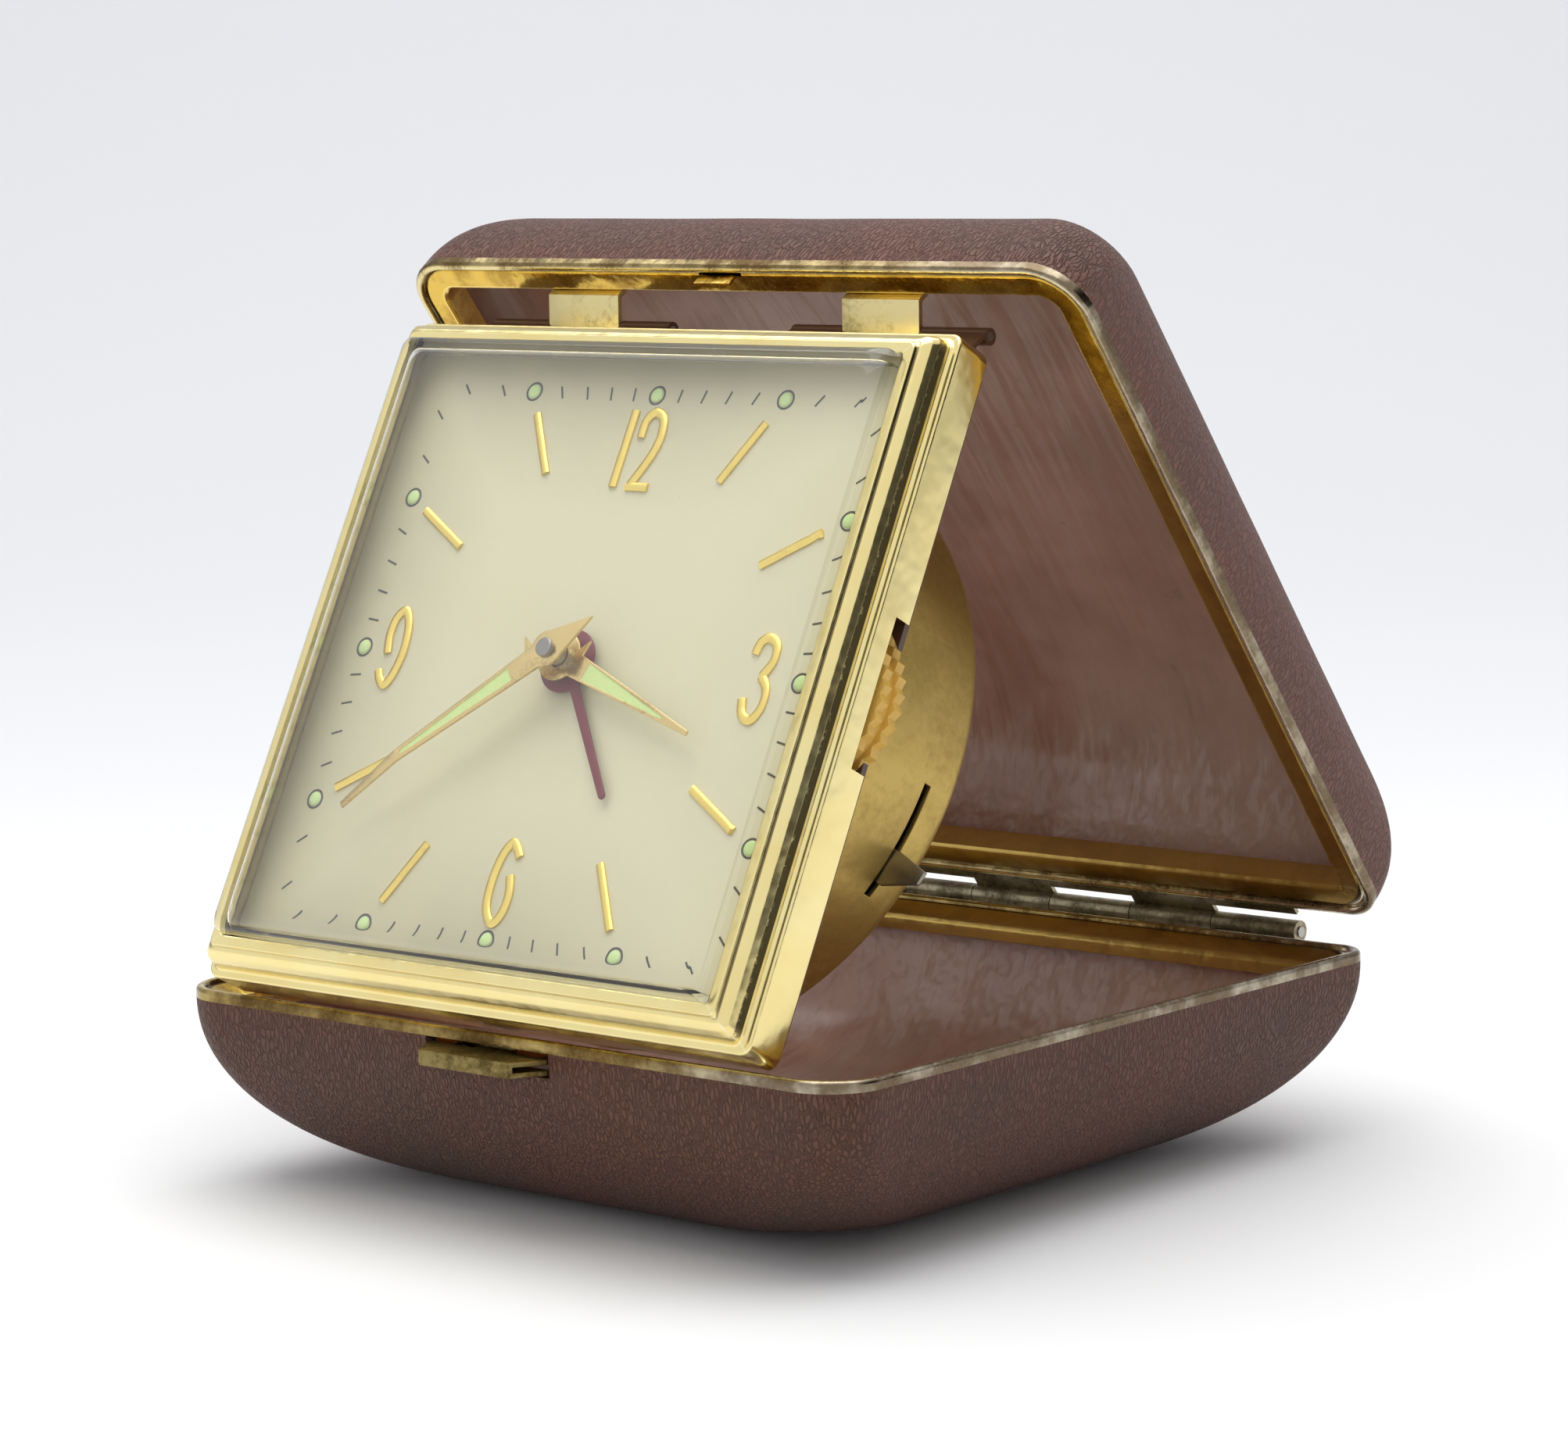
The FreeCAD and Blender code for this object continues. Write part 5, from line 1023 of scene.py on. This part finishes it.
bevelled("drumShell", "drum_case", "clock", drumBrass, 0.12, angle=50)
bevelled("thumbwheelAmber", "thumbwheel", "thumb", amber, 0.16, steps=3, angle=30)
bevelled("shutoffSteel", "shutoff_lever", "shutoff", leverSteel, 0.06)
bevelled("hangersBrass", "clock_hangers", "lid", hangerBrass, 0.08)
bevelled("centreNutGrey", "centre_nut", "minute_arbor", nutGrey, 0.05)
bevelled("latchPlate", "latch_button", "latch", latchBrass, 0.08)

# the solids that no piece stands for
slotFinish = {
    "case_shell": shellPaint, "hinge_metal": hingeBrass, "steel": steel, "spring_steel": springSteel,
    "brown_enamel": enamel, "lume": lumeHands, "wheel_brass": wheelBrass, "drum_brass": drumBrass,
    "plate_brass": plateBrass}
ownFinish = {"lid_catch": lidRimGilt}
for entry in frame["record"]["subparts"]:
    finish = ownFinish.get(entry["node"], slotFinish.get(entry["material_slot"]))
    piece = nodes[entry["node"]]
    if finish is not None and not piece.hide_render:
        piece.data.materials.clear()
        piece.data.materials.append(finish.material)
print("stage: metal and plastic pieces")


# Floor, light and camera: the view is in millimetres and degrees, the room in metres

view = {
    "azimuth": 40.05, "elevation": 7.24, "roll": -0.91, "distance": 413.86, "target": (0.87, 0, 39.35),
    "lens": 107.6, "sensor": 36, "nearest": 0.01, "farthest": 20}
azimuth, elevation, roll = (math.radians(view[key]) for key in ("azimuth", "elevation", "roll"))
room = {
    "half": 3.2, "front": -3.2, "bend": 0.45, "radius": 0.5, "bendSteps": 16, "top": 1.3,
    "near": (1.0, 1.0, 1.0), "middle": (0.84, 0.845, 0.86), "far": paint(236, 236, 239),
    "middleReach": (0.0, 0.32), "farReach": (0.35, 1.1), "sky": (0.95, 0.96, 0.98), "fill": 0.6,
    "shown": 0.95}


def roomPlace(across, away, up):
    # the room is turned with the camera's direction
    return (
        across * math.cos(azimuth) - away * math.sin(azimuth),
        across * math.sin(azimuth) + away * math.cos(azimuth), up)


def sweepFinish():
    made = Finish("paleSweep", roughness=0.9, specularIorLevel=0.1)
    here = made.node("ShaderNodeTexCoord", result="Object")
    turned = made.node(
        "ShaderNodeVectorRotate", {"rotation_type": "Z_AXIS"}, {"Vector": here, "Angle": -azimuth})
    reach = made.part(turned, 1) + made.part(turned, 2)
    # painted shade: the sweep is white near the object and greyer further back, standing in for the light's
    # falloff
    tone = made.mix(made.ease(reach, *room["middleReach"]), room["near"], room["middle"])
    made.set(baseColor=made.mix(made.ease(reach, *room["farReach"]), tone, room["far"]))
    return made


def stageSheet(name, rows, finish):
    mesh = bpy.data.meshes.new(name)
    faces = [(2 * row, 2 * row + 1, 2 * row + 3, 2 * row + 2) for row in range(len(rows) - 1)]
    mesh.from_pydata([point for row in rows for point in row], [], faces)
    mesh.polygons.foreach_set("use_smooth", [True] * len(faces))
    mesh.materials.append(finish.material)
    placed(name, mesh)


sweep = [(room["front"], 0.0)]
for step in range(room["bendSteps"] + 1):
    turn = math.radians(90 * step / room["bendSteps"])
    sweep.append((
        room["bend"] + room["radius"] * math.sin(turn), room["radius"] * (1 - math.cos(turn))))
sweep.append((room["bend"] + room["radius"], room["top"]))
sweepRows = [
    (roomPlace(-room["half"], away, up), roomPlace(room["half"], away, up)) for away, up in sweep]
stageSheet("sweepFloor", sweepRows, sweepFinish())

# a dark board beside the camera gives the metal its dark lines
board = {"away": (-0.75, 0.1), "side": 0.85, "low": 0.1, "high": 0.6, "colour": paint(40, 38, 36)}
boardFinish = Finish("darkBoard", baseColor=board["colour"], roughness=0.9, specularIorLevel=0.1)
stageSheet("darkBoard", [
    tuple(roomPlace(board["side"], away, up) for up in (board["low"], board["high"]))
    for away in board["away"]], boardFinish)

world = bpy.data.worlds.new("studio")
bpy.context.scene.world = world
world.use_nodes = True
tree = world.node_tree


def skyLight(strength):
    light = tree.nodes.new("ShaderNodeBackground")
    light.inputs["Color"].default_value = (*room["sky"], 1)
    light.inputs["Strength"].default_value = strength
    return light.outputs[0]


def larger(first, second):
    node = tree.nodes.new("ShaderNodeMath")
    node.operation = "MAXIMUM"
    tree.links.new(first, node.inputs[0])
    tree.links.new(second, node.inputs[1])
    return node.outputs[0]


# the sky lights the object softly, and is near white where it is seen or mirrored
rays = tree.nodes.new("ShaderNodeLightPath").outputs
seen = larger(rays["Is Camera Ray"], larger(rays["Is Glossy Ray"], rays["Is Transmission Ray"]))
either = tree.nodes.new("ShaderNodeMixShader")
for socket, source in enumerate((seen, skyLight(room["fill"]), skyLight(room["shown"]))):
    tree.links.new(source, either.inputs[socket])
tree.links.new(either.outputs[0], tree.nodes["World Output"].inputs["Surface"])

lamp = {"place": (-0.05, 0.05, 0.8), "aim": (0, 0, 0.03), "size": 0.95, "power": 5.5}
light = bpy.data.lights.new("topLight", "AREA")
light.shape = "SQUARE"
light.size = lamp["size"]
light.energy = lamp["power"]
topLight = placed("topLight", light)
topLight.location = lamp["place"]
topLight.rotation_euler = (Vector(lamp["aim"]) - Vector(lamp["place"])).to_track_quat("-Z", "Y").to_euler()

flat = math.cos(elevation)
back = Vector((math.sin(azimuth) * flat, -math.cos(azimuth) * flat, math.sin(elevation)))
right = Vector((math.cos(azimuth), math.sin(azimuth), 0))
up = back.cross(right)
rightRolled = right * math.cos(roll) + up * math.sin(roll)
upRolled = up * math.cos(roll) - right * math.sin(roll)
camera = placed("camera", bpy.data.cameras.new("camera"))
camera.data.lens = view["lens"]
camera.data.sensor_width = view["sensor"]
camera.data.clip_start = view["nearest"]
camera.data.clip_end = view["farthest"]
matrix = camera.matrix_world.copy()
matrix.col[0][:3], matrix.col[1][:3], matrix.col[2][:3] = rightRolled, upRolled, back
matrix.col[3][:3] = (Vector(view["target"]) + back * view["distance"]) * mm
camera.matrix_world = matrix
bpy.context.scene.camera = camera
bpy.context.scene.view_settings.view_transform = "Standard"
print("stage: floor, light and camera")
